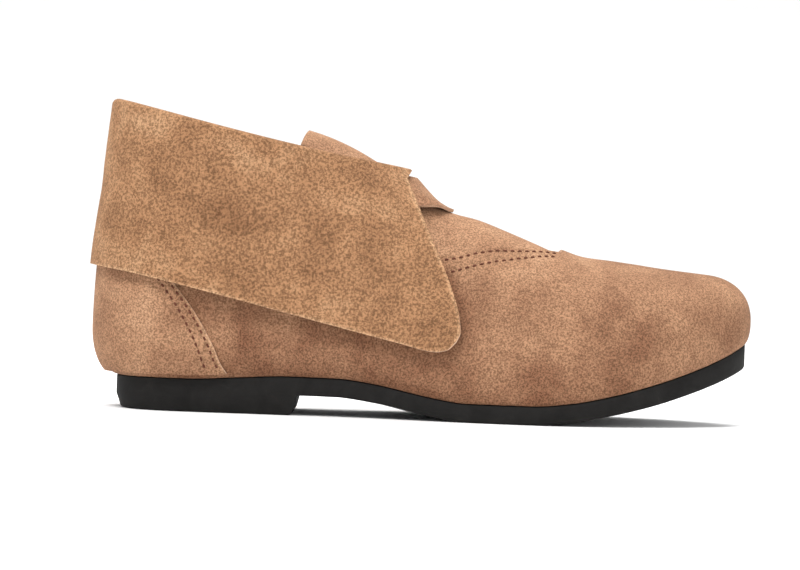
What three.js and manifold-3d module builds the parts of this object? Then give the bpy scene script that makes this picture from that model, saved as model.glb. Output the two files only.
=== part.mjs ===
// A right ankle shoe of suede in the medieval manner: a wide cuff turned down over a plain upper, a tongue,
// a flap that closes the front, a heel counter, and a black one-piece sole with a low heel.
// Millimetres. x runs from the back of the heel to the toe, y from the outer side of the foot (negative)
// to its inner side, z up from the floor. The group's origin is the middle of the heel's underside.
import * as THREE from "three";
import Module from "manifold-3d";

const wasm = await Module();
wasm.setup();

// Sizes of the last, the shape that the upper follows
const LENGTH = 284; // heel to toe
const BALL_WIDTH = 100;
const HEEL_WIDTH = 68;
const ANKLE_WIDTH = 64; // of the leg, above the collar
const ANKLE_BACK = 10; // from the back of the heel to the back of the leg
const LEG_HEIGHT = 150; // where the last ends, at the back of the leg
const COLLAR_HEIGHT = 129.8; // of the collar at the back
const INSTEP_HEIGHT = 103; // of the collar at the front
const TOE_HEIGHT = 65.4; // where the ridge turns down to the toe
const HEEL_ROUND = 34; // length of the round of the heel
const TOE_TAPER = 90; // length over which the toe narrows
const TOE_SWING = 7; // of the toe's tip to the inner side
const HEEL_BULGE = 20; // height of the widest line over the sole, at the heel
const HEEL_OVERHANG = 10.5; // of the widest line over the edge of the sole, at the heel
const COLLAR_SAG = 1.8; // of the collar line between its ends

// Sizes of the sole
const SOLE_THICKNESS = 7.6;
const TOE_THICKNESS = 10.6; // of the sole at the toe's tip
const HEEL_LIFT = 6.2; // height of the heel block at its back
const TOE_SPRING = 25;
const HEEL_BREAST = 88.5; // from the back of the shoe to the front face of the heel block
const HEEL_RAKE = 1.7; // how far that face leans back
const HEEL_TAPER = 1.5; // of the heel block's sides
const HEEL_EDGE = 2; // radius around the heel block's underside
const SOLE_BEVEL = 1.2; // along the underside of the sole
const SOLE_MARGIN = 1; // of the sole beyond the lower edge of the upper
const INSOLE_THICKNESS = 2.4;
const INSOLE_EASE = 0.6; // all round, inside the lower edge of the upper

// Leather thicknesses, and the gap between two pieces
const UPPER_WALL = 1.6;
const COUNTER_THICKNESS = 1.4;
const TONGUE_THICKNESS = 1.6;
const FLAP_THICKNESS = 1.3;
const CUFF_THICKNESS = 1.6;
const SEAM_GAP = 0.35;

// Sizes of the counter, the cuff, the flap and the tongue
const COUNTER_TOP = 75; // height of its hidden upper edge at the back
const CUFF_DROP = 69; // of the cuff's front edge
const CUFF_FLARE = 24; // how far that edge runs forward as it drops
const CUFF_PARTING = 16; // between the two front corners of the cuff
const FOLD_GAP = 0.5; // between the upper's top edge and the fold over it
const HEM_BACK = 61.5; // height of the cuff's lower edge at the back
const HEM_FRONT = 29.5; // and at its lowest, at the front
const FLAP_EDGE = 88.5; // height of the flap's lower edge at its sides
const FLAP_CLIMB = 2.2; // how much higher that edge is at the front
const FLAP_TUCK = 0.6; // of the flap's top edge under the collar line
const FLAP_DEPTH = 0.8; // of the flap's middle below the inside of the quarters
const FLAP_SUNK = 4; // half width over which the flap lies deep, over the tongue
const FLAP_RISE = 11; // width over which it then rises over the quarters
const FLAP_FALL = 10; // height over which it sinks below the collar
const TONGUE_TUCK = 7; // of the tongue under the edge of the throat
const TONGUE_NOSE = 8; // extra tuck at its front end
const TONGUE_EASE = 0.5; // between it and the vamp over it
const TONGUE_DIP = 1; // of its middle below the last where it comes free
const TONGUE_BOW = 3; // of the free tongue above a straight line
const TONGUE_TIP_X = 89.5;
const TONGUE_TIP_HEIGHT = 122.2;

// Stations along the shoe, as shares of LENGTH
const WAIST_STATION = 0.2; // ribs behind it rise to the leg, ribs in front close over the instep
const SHAFT_STATION = 0.405; // the last rib that rises to the leg
const SHIN_STATION = 0.394; // front of the leg, at the top of the last
const BROW_STATION = 0.921; // where the ridge ends over the toe
const COLLAR_BACK_STATION = 0.0254;
const COLLAR_FRONT_STATION = 0.4665;
const FLAP_BACK_STATION = 0.4;
const FLAP_FRONT_STATION = 0.54;
const CORNER_STATION = 0.51; // last rib of the corner between collar and throat
const TONGUE_FRONT_STATION = 0.745;
const TONGUE_DIP_STATION = 0.537; // where the tongue's middle starts to sink below the last
const TONGUE_FREE_STATION = 0.478; // where the tongue leaves the last

// Half widths as shares of the width there, from heel width to ball width, and the swing of the toe
const OUTLINE = [
  { at: 0.0, lateral: 0.5, medial: 0.5, ball: 0, swing: 0 },
  { at: 0.1, lateral: 0.5, medial: 0.5, ball: 0, swing: 0 },
  { at: 0.2, lateral: 0.515, medial: 0.5, ball: 0, swing: 0 },
  { at: 0.32, lateral: 0.501, medial: 0.46, ball: 0.15, swing: 0 },
  { at: 0.43, lateral: 0.499, medial: 0.442, ball: 0.35, swing: 0 },
  { at: 0.53, lateral: 0.495, medial: 0.45, ball: 0.65, swing: 0.01 },
  { at: 0.62, lateral: 0.501, medial: 0.475, ball: 0.9, swing: 0.08 },
  { at: 0.7, lateral: 0.5, medial: 0.5, ball: 1, swing: 0.15 },
  { at: 0.78, lateral: 0.49, medial: 0.505, ball: 1, swing: 0.3 },
  { at: 0.86, lateral: 0.475, medial: 0.495, ball: 1, swing: 0.53 },
  { at: 1.0, lateral: 0.43, medial: 0.45, ball: 1, swing: 1 },
];

// The last's lower side: height of its widest line and its overhang, as shares of those at the heel
const FLANK = [
  { at: 0.0, bulge: 1, overhang: 1 },
  { at: 0.08, bulge: 0.95, overhang: 0.67 },
  { at: 0.15, bulge: 0.9, overhang: 0.48 },
  { at: 0.35, bulge: 0.75, overhang: 0.48 },
  { at: 0.55, bulge: 0.7, overhang: 0.38 },
  { at: 0.7, bulge: 0.65, overhang: 0.33 },
  { at: 0.85, bulge: 0.55, overhang: 0.33 },
  { at: 1.0, bulge: 0.47, overhang: 0.3 },
];

// Underside of the sole, as shares of the heel's lift and of the toe spring, and where the sole thickens
// towards the toe
const UNDERSIDE = [
  { at: 0.0, lift: 1, spring: 0, thick: 0 },
  { at: 0.15, lift: 1, spring: 0, thick: 0 },
  { at: 0.22, lift: 1.18, spring: 0, thick: 0 },
  { at: 0.3, lift: 1.38, spring: 0, thick: 0 },
  { at: 0.37, lift: 1.36, spring: 0, thick: 0 },
  { at: 0.43, lift: 1.06, spring: 0, thick: 0 },
  { at: 0.48, lift: 0.6, spring: 0, thick: 0 },
  { at: 0.53, lift: 0.18, spring: 0, thick: 0 },
  { at: 0.565, lift: 0, spring: 0, thick: 0 },
  { at: 0.66, lift: 0, spring: 0, thick: 0 },
  { at: 0.72, lift: 0, spring: 0.064, thick: 0 },
  { at: 0.78, lift: 0, spring: 0.19, thick: 0.1 },
  { at: 0.84, lift: 0, spring: 0.356, thick: 0.3 },
  { at: 0.9, lift: 0, spring: 0.575, thick: 0.43 },
  { at: 0.95, lift: 0, spring: 0.79, thick: 0.62 },
  { at: 0.985, lift: 0, spring: 0.97, thick: 0.87 },
  { at: 1.0, lift: 0, spring: 1.05, thick: 1 },
];

// The ridge from the leg to the toe: 0 is the toe's height and 1 the instep's
const RIDGE = [
  { at: 0.394, rise: 1.824 },
  { at: 0.4155, rise: 1.518 },
  { at: 0.4437, rise: 1.234 },
  { at: 0.4665, rise: 1.05 },
  { at: 0.5018, rise: 0.84 },
  { at: 0.537, rise: 0.681 },
  { at: 0.579, rise: 0.604 },
  { at: 0.6197, rise: 0.492 },
  { at: 0.6637, rise: 0.359 },
  { at: 0.7025, rise: 0.235 },
  { at: 0.734, rise: 0.16 },
  { at: 0.789, rise: 0.115 },
  { at: 0.852, rise: 0.053 },
  { at: 0.921, rise: 0 },
];

// Edge of the throat in the upper, its height as a share of the instep's
const THROAT = [
  { at: 0.4, height: 1.3 },
  { at: 0.419, height: 1.06 },
  { at: 0.4366, height: 0.93 },
  { at: 0.4542, height: 0.77 },
  { at: 0.4683, height: 0.66 },
  { at: 0.4859, height: 0.645 },
  { at: 0.5176, height: 0.673 },
  { at: 0.5458, height: 0.683 },
  { at: 0.575, height: 0.705 },
  { at: 0.609, height: 0.717 },
  { at: 0.6373, height: 0.717 },
  { at: 0.6736, height: 0.7165 },
  { at: 0.6937, height: 0.711 },
  { at: 0.7025, height: 0.708 },
  { at: 0.7077, height: 0.75 },
  { at: 0.7148, height: 0.9 },
];

// Front edge of the counter: how far forward it is, as a share of LENGTH, at shares of COUNTER_TOP
const COUNTER_FRONT = [
  { at: 0.16, forward: 0.22 },
  { at: 0.27, forward: 0.2 },
  { at: 0.38, forward: 0.187 },
  { at: 0.49, forward: 0.171 },
  { at: 0.61, forward: 0.15 },
  { at: 0.7, forward: 0.131 },
  { at: 0.85, forward: 0.1 },
  { at: 1.0, forward: 0.065 },
];

// Front edge of the cuff: share of its flare at each share of its drop
const CUFF_FRONT = [
  { at: 0, forward: 0 },
  { at: 0.215, forward: 0.27 },
  { at: 0.394, forward: 0.49 },
  { at: 0.49, forward: 0.62 },
  { at: 0.69, forward: 0.86 },
  { at: 0.84, forward: 0.99 },
  { at: 0.94, forward: 1.02 },
  { at: 1, forward: 0.95 },
];

// Lower edge of the cuff: 0 is its front height and 1 its back height, at shares of its reach
const CUFF_HEM = [
  { at: -0.02, rise: 1 },
  { at: 0.102, rise: 0.91 },
  { at: 0.307, rise: 0.7 },
  { at: 0.575, rise: 0.393 },
  { at: 0.831, rise: 0.106 },
  { at: 0.939, rise: 0 },
  { at: 0.968, rise: 0.028 },
  { at: 0.993, rise: 0.144 },
];

// How far the cuff stands off the last, down its back, side and front, as shares of its clearance
const CUFF_STANDOFF = [
  { at: 0, back: 1, side: 1, front: 1 },
  { at: 0.5, back: 0.75, side: 1.3, front: 1.2 },
  { at: 0.75, back: 1.12, side: 1.7, front: 1.5 },
  { at: 1, back: 1.43, side: 2.1, front: 1.9 },
];

// Side edge of the free tongue, from where it leaves the last to its tip: shares of LENGTH, of the instep's
// height, and of the half width inside the quarters there
const TONGUE_EDGE = [
  { at: 0.2, x: 0.452, height: 0.72, half: 0.97 },
  { at: 0.4, x: 0.421, height: 0.86, half: 0.92 },
  { at: 0.6, x: 0.385, height: 0.975, half: 0.87 },
  { at: 0.8, x: 0.346, height: 1.06, half: 0.82 },
  { at: 1, x: 0.3067, height: 1.12, half: 0.78 },
];

// Shape of the ribs and of the toe
const HEEL_SHARE = 0.16; // of the ribs that go round the heel
const TOE_SHARE = 0.38; // of the ribs that go round the toe
const TOE_POINT = 2; // power of the toe's outline: 2 is an ellipse
const SHAFT_LEAN = 1.6; // power of the shaft's inward lean
const INSTEP_CROWN = 0.8; // power of the crown over the instep
const TOE_CROWN = 1.15; // and over the toe
const FAN_START = 0.56; // station where the ribs begin to fan out round the toe
const FAN_END = 0.85;
const ANKLE_OVAL = 0.9; // power of the leg's section at the back
const SHIN_OVAL = 1.7; // and at the front, which is narrower
const CLOSING = 1.7; // power by which ribs draw closer towards a point
const CUFF_BACK = 0.34; // share of the cuff's ribs that go round its back
const CUFF_SIDE = 0.78; // and up to the end of its side

const LATERAL = -1;
const MEDIAL = 1;
const SIDES = [LATERAL, MEDIAL];
const HALF_PI = Math.PI / 2;
const SMALL = 1e-3;
const HALVINGS = 34; // of a span, to find a crossing in it
const SCAN_STEPS = 60; // up a rib, to find the first crossing
const HEEL_HALF = 0.5; // ribs below this number are in the back of the shoe
const REAR_RIBS = 0.8; // and below this one behind the toe
const CUFF_CLEARANCE = SEAM_GAP + Math.max(COUNTER_THICKNESS, FLAP_THICKNESS) + SEAM_GAP;
const CUFF_REACH = LENGTH * COLLAR_FRONT_STATION + CUFF_FLARE;

const mix = (a, b, t) => a + (b - a) * t;
const clamp = (t) => Math.min(1, Math.max(0, t));
const smooth = (t) => clamp(t) ** 2 * (3 - 2 * clamp(t));
const spread = (from, to, steps) => Array.from({ length: steps + 1 }, (_, i) => mix(from, to, i / steps));

// A column of a table at a place, on a smooth curve through its rows that never overshoots them.
function along(table, column, place) {
  const end = table.length - 1;
  if (place <= table[0].at) return table[0][column];
  if (place >= table[end].at) return table[end][column];
  const i = table.findIndex((row) => row.at > place) - 1;
  const slope = (k) => (table[k + 1][column] - table[k][column]) / (table[k + 1].at - table[k].at);
  const tangent = (k) => {
    if (k === 0) return slope(0);
    if (k === end) return slope(end - 1);
    const turn = slope(k - 1) * slope(k);
    return turn > 0 ? (2 * turn) / (slope(k - 1) + slope(k)) : 0;
  };
  const span = table[i + 1].at - table[i].at;
  const t = (place - table[i].at) / span;
  const rest = 1 - t;
  const ends = table[i][column] * rest * rest * (1 + 2 * t) + table[i + 1][column] * t * t * (3 - 2 * t);
  return ends + span * t * rest * (tangent(i) * rest - tangent(i + 1) * t);
}

// Where a function that grows from negative to positive crosses zero.
function crossing(grows, low, high) {
  let from = low;
  let to = high;
  for (let i = 0; i < HALVINGS; i++) {
    const middle = (from + to) / 2;
    if (grows(middle) > 0) to = middle;
    else from = middle;
  }
  return (from + to) / 2;
}

// Ribs are numbered by u, from 0 at the heel to 1 at the toe, evenly round both ends.
function ribX(u) {
  const toeRib = 1 - TOE_SHARE;
  if (u < HEEL_SHARE) return HEEL_ROUND * (1 - Math.cos((HALF_PI * u) / HEEL_SHARE));
  if (u > toeRib) return LENGTH - TOE_TAPER * (1 - Math.sin((HALF_PI * (u - toeRib)) / TOE_SHARE));
  return mix(HEEL_ROUND, LENGTH - TOE_TAPER, (u - HEEL_SHARE) / (toeRib - HEEL_SHARE));
}

const ribAt = (x) => crossing((u) => ribX(u) - x, 0, 1);
const SHAFT_RIB = ribAt(LENGTH * SHAFT_STATION);

// Half width of the outline on one side.
function halfWidth(side, x) {
  const place = x / LENGTH;
  const width = mix(HEEL_WIDTH, BALL_WIDTH, along(OUTLINE, "ball", place));
  const share = along(OUTLINE, side === LATERAL ? "lateral" : "medial", place);
  const heel = clamp(1 - x / HEEL_ROUND);
  const toe = clamp(1 - (LENGTH - x) / TOE_TAPER);
  return width * share * Math.sqrt(1 - heel ** 2) * (1 - toe ** TOE_POINT) ** (1 / TOE_POINT);
}

const centreLine = (x) => TOE_SWING * along(OUTLINE, "swing", x / LENGTH);

function rim(side, u) {
  const x = ribX(u);
  return new THREE.Vector3(x, centreLine(x) + side * halfWidth(side, x), 0);
}

// The level direction out of the outline.
function rimNormal(side, u) {
  if (u < SMALL) return new THREE.Vector3(-1, 0, 0);
  if (u > 1 - SMALL) return new THREE.Vector3(1, 0, 0);
  const run = rim(side, u + SMALL / 2).sub(rim(side, u - SMALL / 2));
  return new THREE.Vector3(-side * run.y, side * run.x, 0).normalize();
}

const underside = (x) =>
  HEEL_LIFT * along(UNDERSIDE, "lift", x / LENGTH) + TOE_SPRING * along(UNDERSIDE, "spring", x / LENGTH);
const soleDepth = (x) => mix(SOLE_THICKNESS, TOE_THICKNESS, along(UNDERSIDE, "thick", x / LENGTH));
const soleTop = (x) => underside(x) + soleDepth(x);

// The outline of the last's lower edge, moved outwards by a margin.
function featherEdge(side, u, margin) {
  const edge = rim(side, u);
  const overhang = HEEL_OVERHANG * along(FLANK, "overhang", edge.x / LENGTH);
  return edge.addScaledVector(rimNormal(side, u), margin - overhang);
}

const ridgeHeight = (x) => mix(TOE_HEIGHT, INSTEP_HEIGHT, along(RIDGE, "rise", x / LENGTH));

// Where a rib ends: on the oval of the leg behind the shin, on the ridge in front of it.
function ribTop(side, u) {
  const shin = LENGTH * SHIN_STATION;
  if (u < SHAFT_RIB) {
    const turn = (Math.PI * u) / SHAFT_RIB;
    const oval = mix(ANKLE_OVAL, SHIN_OVAL, smooth(u / SHAFT_RIB));
    const y = ((side * ANKLE_WIDTH) / 2) * Math.abs(Math.sin(turn)) ** oval;
    const z = mix(LEG_HEIGHT, ridgeHeight(shin), (u / SHAFT_RIB) ** 3);
    return new THREE.Vector3(mix(ANKLE_BACK, shin, (1 - Math.cos(turn)) / 2), y, z);
  }
  const shaft = LENGTH * SHAFT_STATION;
  const x = mix(shin, LENGTH * BROW_STATION, (ribX(u) - shaft) / (LENGTH - shaft));
  return new THREE.Vector3(x, centreLine(x), ridgeHeight(x));
}

// The outside of the last. On each rib v runs from -1 at the sole past 0 at the widest line to 1 at the top.
function last(side, u, v) {
  const edge = rim(side, u);
  const out = rimNormal(side, u);
  const overhang = HEEL_OVERHANG * along(FLANK, "overhang", edge.x / LENGTH);
  const bulge = HEEL_BULGE * along(FLANK, "bulge", edge.x / LENGTH);
  const foot = soleTop(edge.x - out.x * overhang) + SEAM_GAP;
  if (v <= 0) {
    const turn = HALF_PI * (v + 1);
    edge.addScaledVector(out, overhang * (Math.sin(turn) - 1));
    return edge.setZ(foot + bulge * (1 - Math.cos(turn)));
  }
  const waist = LENGTH * WAIST_STATION;
  const closed = smooth((ribX(u) - waist) / (LENGTH * SHAFT_STATION - waist));
  const turn = HALF_PI * v;
  const fan = smooth((ribX(u) / LENGTH - FAN_START) / (FAN_END - FAN_START));
  const crown = (1 - Math.cos(turn)) ** mix(INSTEP_CROWN, TOE_CROWN, fan);
  const lean = mix(Math.sin(turn) ** 2, crown, fan);
  const top = ribTop(side, u);
  return new THREE.Vector3(
    mix(edge.x, top.x, mix(v ** SHAFT_LEAN, lean, closed)),
    mix(edge.y, top.y, mix(v ** SHAFT_LEAN, crown, closed)),
    mix(foot + bulge, top.z, mix(v, Math.sin(turn), closed)),
  );
}

// The direction out of the last. Both sides agree where they meet, at the heel, the toe and the ridge.
function lastNormal(side, u, v) {
  const forward = last(side, Math.min(1, u + SMALL), v).sub(last(side, Math.max(0, u - SMALL), v));
  const upward = last(side, u, Math.min(1, v + SMALL)).sub(last(side, u, Math.max(-1, v - SMALL)));
  const normal = forward.cross(upward).multiplyScalar(-side);
  const onRidge = u >= SHAFT_RIB && v > 1 - SMALL;
  if (u < SMALL || u > 1 - SMALL || onRidge) normal.y = 0;
  return normal.normalize();
}

const offLast = (side, u, v, offset) => last(side, u, v).addScaledVector(lastNormal(side, u, v), offset);

function collarLine(x) {
  const back = LENGTH * COLLAR_BACK_STATION;
  const t = (x - back) / (LENGTH * COLLAR_FRONT_STATION - back);
  return mix(COLLAR_HEIGHT, INSTEP_HEIGHT, t) - 4 * COLLAR_SAG * t * (1 - t);
}

// The first place up a rib that reaches a line given as height over x, or the rib's top.
function reach(side, u, line) {
  const short = (v) => {
    const point = last(side, u, v);
    return point.z - line(point.x);
  };
  const above = spread(0, 1, SCAN_STEPS).find((v) => short(v) > 0);
  return above === undefined ? 1 : crossing(short, Math.max(0, above - 1 / SCAN_STEPS), above);
}

const collarPlace = (side, u) => reach(side, u, collarLine);
const throatLine = (x) => INSTEP_HEIGHT * along(THROAT, "height", x / LENGTH);
const upperEdge = (side, u) => reach(side, u, (x) => Math.min(collarLine(x), throatLine(x)));

// The rib and place on a layer over the last that show at x and z from the side.
function locate(side, x, z, offset) {
  const level = (u) => crossing((v) => offLast(side, u, v, offset).z - z, -1, 1);
  const u = crossing((rib) => offLast(side, rib, level(rib), offset).x - x, HEEL_SHARE / 2, 1);
  return { u, v: level(u) };
}

// A closed wall from patches of paired points, one on its face and one on its back. Patches grow together
// where they share points, and every free edge is closed.
function wallOf(patches) {
  const known = new Map();
  const faces = [];
  const backs = [];
  const index = (pair) => {
    const key = pair.face.toArray().map((value) => value.toFixed(3)).join();
    if (!known.has(key)) {
      known.set(key, faces.length);
      faces.push(pair.face);
      backs.push(pair.back);
    }
    return known.get(key);
  };
  const triangles = [];
  const add = (a, b, c) => {
    if (a !== b && b !== c && c !== a) triangles.push([a, b, c]);
  };
  for (const { grid, turned } of patches) {
    const places = grid.map((column) => column.map(index));
    for (let i = 0; i + 1 < places.length; i++) {
      for (let j = 0; j + 1 < places[i].length; j++) {
        const corners = [places[i][j], places[i + 1][j], places[i + 1][j + 1], places[i][j + 1]];
        const [a, b, c, d] = turned ? corners.reverse() : corners;
        const shortWay = faces[a].distanceTo(faces[c]) <= faces[b].distanceTo(faces[d]);
        add(a, b, shortWay ? c : d);
        add(shortWay ? a : b, c, d);
      }
    }
  }
  const edges = new Set();
  for (const [a, b, c] of triangles) [[a, b], [b, c], [c, a]].forEach((edge) => edges.add(edge.join()));
  const count = faces.length;
  const closed = [];
  for (const [a, b, c] of triangles) {
    closed.push(a, b, c, c + count, b + count, a + count);
    for (const [from, to] of [[a, b], [b, c], [c, a]]) {
      if (!edges.has([to, from].join())) closed.push(to, from, from + count, to, from + count, to + count);
    }
  }
  return geometryOf([...faces, ...backs], closed);
}

function geometryOf(points, triangles) {
  const geometry = new THREE.BufferGeometry();
  geometry.setAttribute("position", new THREE.Float32BufferAttribute(points.flatMap((p) => p.toArray()), 3));
  geometry.setIndex(triangles);
  geometry.computeVertexNormals();
  return geometry;
}

// Gives a grid of face points their backs, a thickness behind them. The grid's own directions, crossed,
// point out of the face.
function backed(grid, thickness) {
  return grid.map((column, i) =>
    column.map((face, j) => {
      const before = grid[Math.max(0, i - 1)];
      const after = grid[Math.min(grid.length - 1, i + 1)];
      const run = after[j].clone().sub(before[j]);
      const climb = column[Math.min(column.length - 1, j + 1)].clone().sub(column[Math.max(0, j - 1)]);
      const normal = run.cross(climb).normalize();
      return { face, back: face.clone().addScaledVector(normal, -thickness) };
    }),
  );
}

// A solid lofted through level rings from bottom to top. A ring's two sides run from the heel forwards.
function loft(rings) {
  const points = [];
  const loops = rings.map(({ lateral, medial }) => {
    const shared = lateral.at(-1).distanceTo(medial.at(-1)) < SMALL;
    const back = medial.slice(1, shared ? -1 : undefined).reverse();
    const start = points.length;
    points.push(...lateral, ...back);
    const total = lateral.length + back.length;
    const alone = lateral.map((_, i) => i === 0 || (shared && i === lateral.length - 1));
    return { start, total, alone };
  });
  const triangles = [];
  const total = loops[0].total;
  const steps = loops[0].alone.length - 1;
  for (let k = 0; k + 1 < loops.length; k++) {
    for (let i = 0; i < total; i++) {
      const next = (i + 1) % total;
      const [a, b] = [loops[k].start + i, loops[k].start + next];
      const [c, d] = [loops[k + 1].start + next, loops[k + 1].start + i];
      triangles.push(a, b, c, a, c, d);
    }
  }
  const across = (loop, i) => (loop.alone[i] ? loop.start + i : loop.start + total - i);
  const cap = (loop, upward) => {
    for (let i = 0; i < steps; i++) {
      const [a, b] = [loop.start + i, loop.start + i + 1];
      const [c, d] = [across(loop, i + 1), across(loop, i)];
      const halves = [[a, b, c], [a, c, d]].filter((half) => new Set(half).size === 3);
      halves.forEach((half) => triangles.push(...(upward ? half : half.reverse())));
    }
  };
  cap(loops[0], false);
  cap(loops.at(-1), true);
  return geometryOf(points, triangles);
}

// A ring around the last's lower edge, from the heel to a rib, with a height over x.
function ring(ribs, margin, height) {
  const sideOf = (side) =>
    ribs.map((u) => {
      const point = featherEdge(side, u, margin);
      return point.setZ(height(point.x));
    });
  return { lateral: sideOf(LATERAL), medial: sideOf(MEDIAL) };
}

function solidOf(geometry) {
  return new wasm.Manifold(
    new wasm.Mesh({
      numProp: 3,
      vertProperties: geometry.getAttribute("position").array,
      triVerts: new Uint32Array(geometry.index.array),
    }),
  );
}

function geometryFrom(solid) {
  const mesh = solid.getMesh();
  const geometry = new THREE.BufferGeometry();
  geometry.setAttribute("position", new THREE.BufferAttribute(mesh.vertProperties, mesh.numProp));
  geometry.setIndex(new THREE.BufferAttribute(mesh.triVerts, 1));
  geometry.computeVertexNormals();
  return geometry;
}

const SOLE_RIBS = [...spread(0, HEEL_SHARE, 9), ...spread(HEEL_SHARE, 1, 33).slice(1)];

// One-piece sole: a curved slab with a bevel in front of the heel, and the heel block under its back.
function outsole() {
  const bevel = (x) => SOLE_BEVEL * smooth((x - HEEL_BREAST) / SOLE_THICKNESS);
  const bevelled = (side) =>
    SOLE_RIBS.map((u) => {
      const point = featherEdge(side, u, SOLE_MARGIN - bevel(ribX(u)));
      return point.setZ(underside(point.x));
    });
  const slab = loft([
    { lateral: bevelled(LATERAL), medial: bevelled(MEDIAL) },
    ring(SOLE_RIBS, SOLE_MARGIN, (x) => underside(x) + SOLE_BEVEL),
    ring(SOLE_RIBS, SOLE_MARGIN, soleTop),
  ]);
  const heelRing = (inset, lean, height) => {
    const end = ribAt(HEEL_BREAST - lean);
    const ribs = [...spread(0, HEEL_SHARE, 9), ...spread(HEEL_SHARE, end, 5).slice(1)];
    return ring(ribs, SOLE_MARGIN - inset, height);
  };
  const corner = HEEL_EDGE * (1 - Math.SQRT1_2);
  const block = loft([
    heelRing(HEEL_TAPER + HEEL_EDGE, HEEL_RAKE + HEEL_EDGE, () => 0),
    heelRing(HEEL_TAPER + corner, HEEL_RAKE + corner, () => corner),
    heelRing(HEEL_TAPER, HEEL_RAKE, () => HEEL_EDGE),
    heelRing(-SMALL, 0, (x) => underside(x)),
    heelRing(-SMALL, 0, (x) => underside(x) + SOLE_THICKNESS / 2),
  ]);
  return geometryFrom(solidOf(slab).add(solidOf(block)));
}

function insole() {
  const bottom = (x) => soleTop(x) + SEAM_GAP;
  const inner = (margin, height) => ring(SOLE_RIBS, -INSOLE_EASE - margin, height);
  return loft([
    inner(0, bottom),
    inner(0, (x) => bottom(x) + INSOLE_THICKNESS / 2),
    inner(INSOLE_THICKNESS / 2, (x) => bottom(x) + INSOLE_THICKNESS),
  ]);
}

// Ribs of the upper, closest round the heel, at the corner of the collar and round the toe.
const overRidge = (u, line) => line(ribTop(LATERAL, u).x) - ribTop(LATERAL, u).z;
const THROAT_END = crossing((u) => overRidge(u, throatLine), SHAFT_RIB, REAR_RIBS);
const CORNER_RIBS = [SHAFT_RIB, ribAt(LENGTH * CORNER_STATION)];
const closing = (from, to, steps) => spread(0, 1, steps).map((t) => mix(from, to, 1 - (1 - t) ** CLOSING));
const UPPER_RIBS = [
  ...spread(0, HEEL_SHARE, 9),
  ...spread(HEEL_SHARE, CORNER_RIBS[0], 8).slice(1),
  ...spread(CORNER_RIBS[0], CORNER_RIBS[1], 7).slice(1),
  ...closing(CORNER_RIBS[1], THROAT_END, 9).slice(1),
  ...spread(THROAT_END, 1, 10).slice(1),
];
const FOOT_LINES = spread(-1, 0, 3);
const SIDE_ROWS = 10;

// One hollow wall: vamp and quarters, open underneath, at the collar and at the throat.
function upper() {
  const patch = (side) => ({
    turned: side === MEDIAL,
    grid: UPPER_RIBS.map((u) => {
      const top = u < THROAT_END - SMALL ? upperEdge(side, u) : 1;
      const rows = [...FOOT_LINES, ...spread(0, top, SIDE_ROWS).slice(1)];
      return rows.map((v) => ({ face: last(side, u, v), back: offLast(side, u, v, -UPPER_WALL) }));
    }),
  });
  return wallOf(SIDES.map(patch));
}

// Heel counter: a layer over the quarters whose front edge slants down and forwards.
function heelCounter() {
  const heelTop = crossing((v) => last(LATERAL, 0, v).z - COUNTER_TOP, 0, 1);
  const rows = [...FOOT_LINES.slice(1), ...spread(0, heelTop, 5).slice(1)];
  const frontRib = (side, v) =>
    crossing(
      (u) => {
        const point = offLast(side, u, v, SEAM_GAP + COUNTER_THICKNESS);
        return point.x - LENGTH * along(COUNTER_FRONT, "forward", point.z / COUNTER_TOP);
      },
      0,
      HEEL_HALF,
    );
  const patch = (side) => {
    const ends = rows.map((v) => frontRib(side, v));
    return {
      turned: side === MEDIAL,
      grid: spread(0, 1, 11).map((share) =>
        rows.map((v, j) => ({
          face: offLast(side, share * ends[j], v, SEAM_GAP + COUNTER_THICKNESS),
          back: offLast(side, share * ends[j], v, SEAM_GAP),
        })),
      ),
    };
  };
  return wallOf(SIDES.map(patch));
}

const FOLD_TURNS = spread(0, Math.PI, 4);
const CUFF_ROWS = [0.02, 0.05, 0.09, 0.14, 0.21, 0.3, 0.41, 0.53, 0.65, 0.77, 0.87, 0.95, 1];
const CUFF_COLUMNS = [
  ...spread(0, CUFF_BACK, 6),
  ...spread(CUFF_BACK, CUFF_SIDE, 5).slice(1),
  ...spread(CUFF_SIDE, 1, 9).slice(1),
];

// How far the cuff's back lies off the last, at a share of the way forward and of the way down.
function cuffStandoff(forward, down) {
  const [back, side, front] = ["back", "side", "front"].map((column) => along(CUFF_STANDOFF, column, down));
  const toSide = mix(back, side, smooth(2 * forward));
  return CUFF_CLEARANCE * mix(toSide, front, smooth(2 * forward - 1));
}

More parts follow.
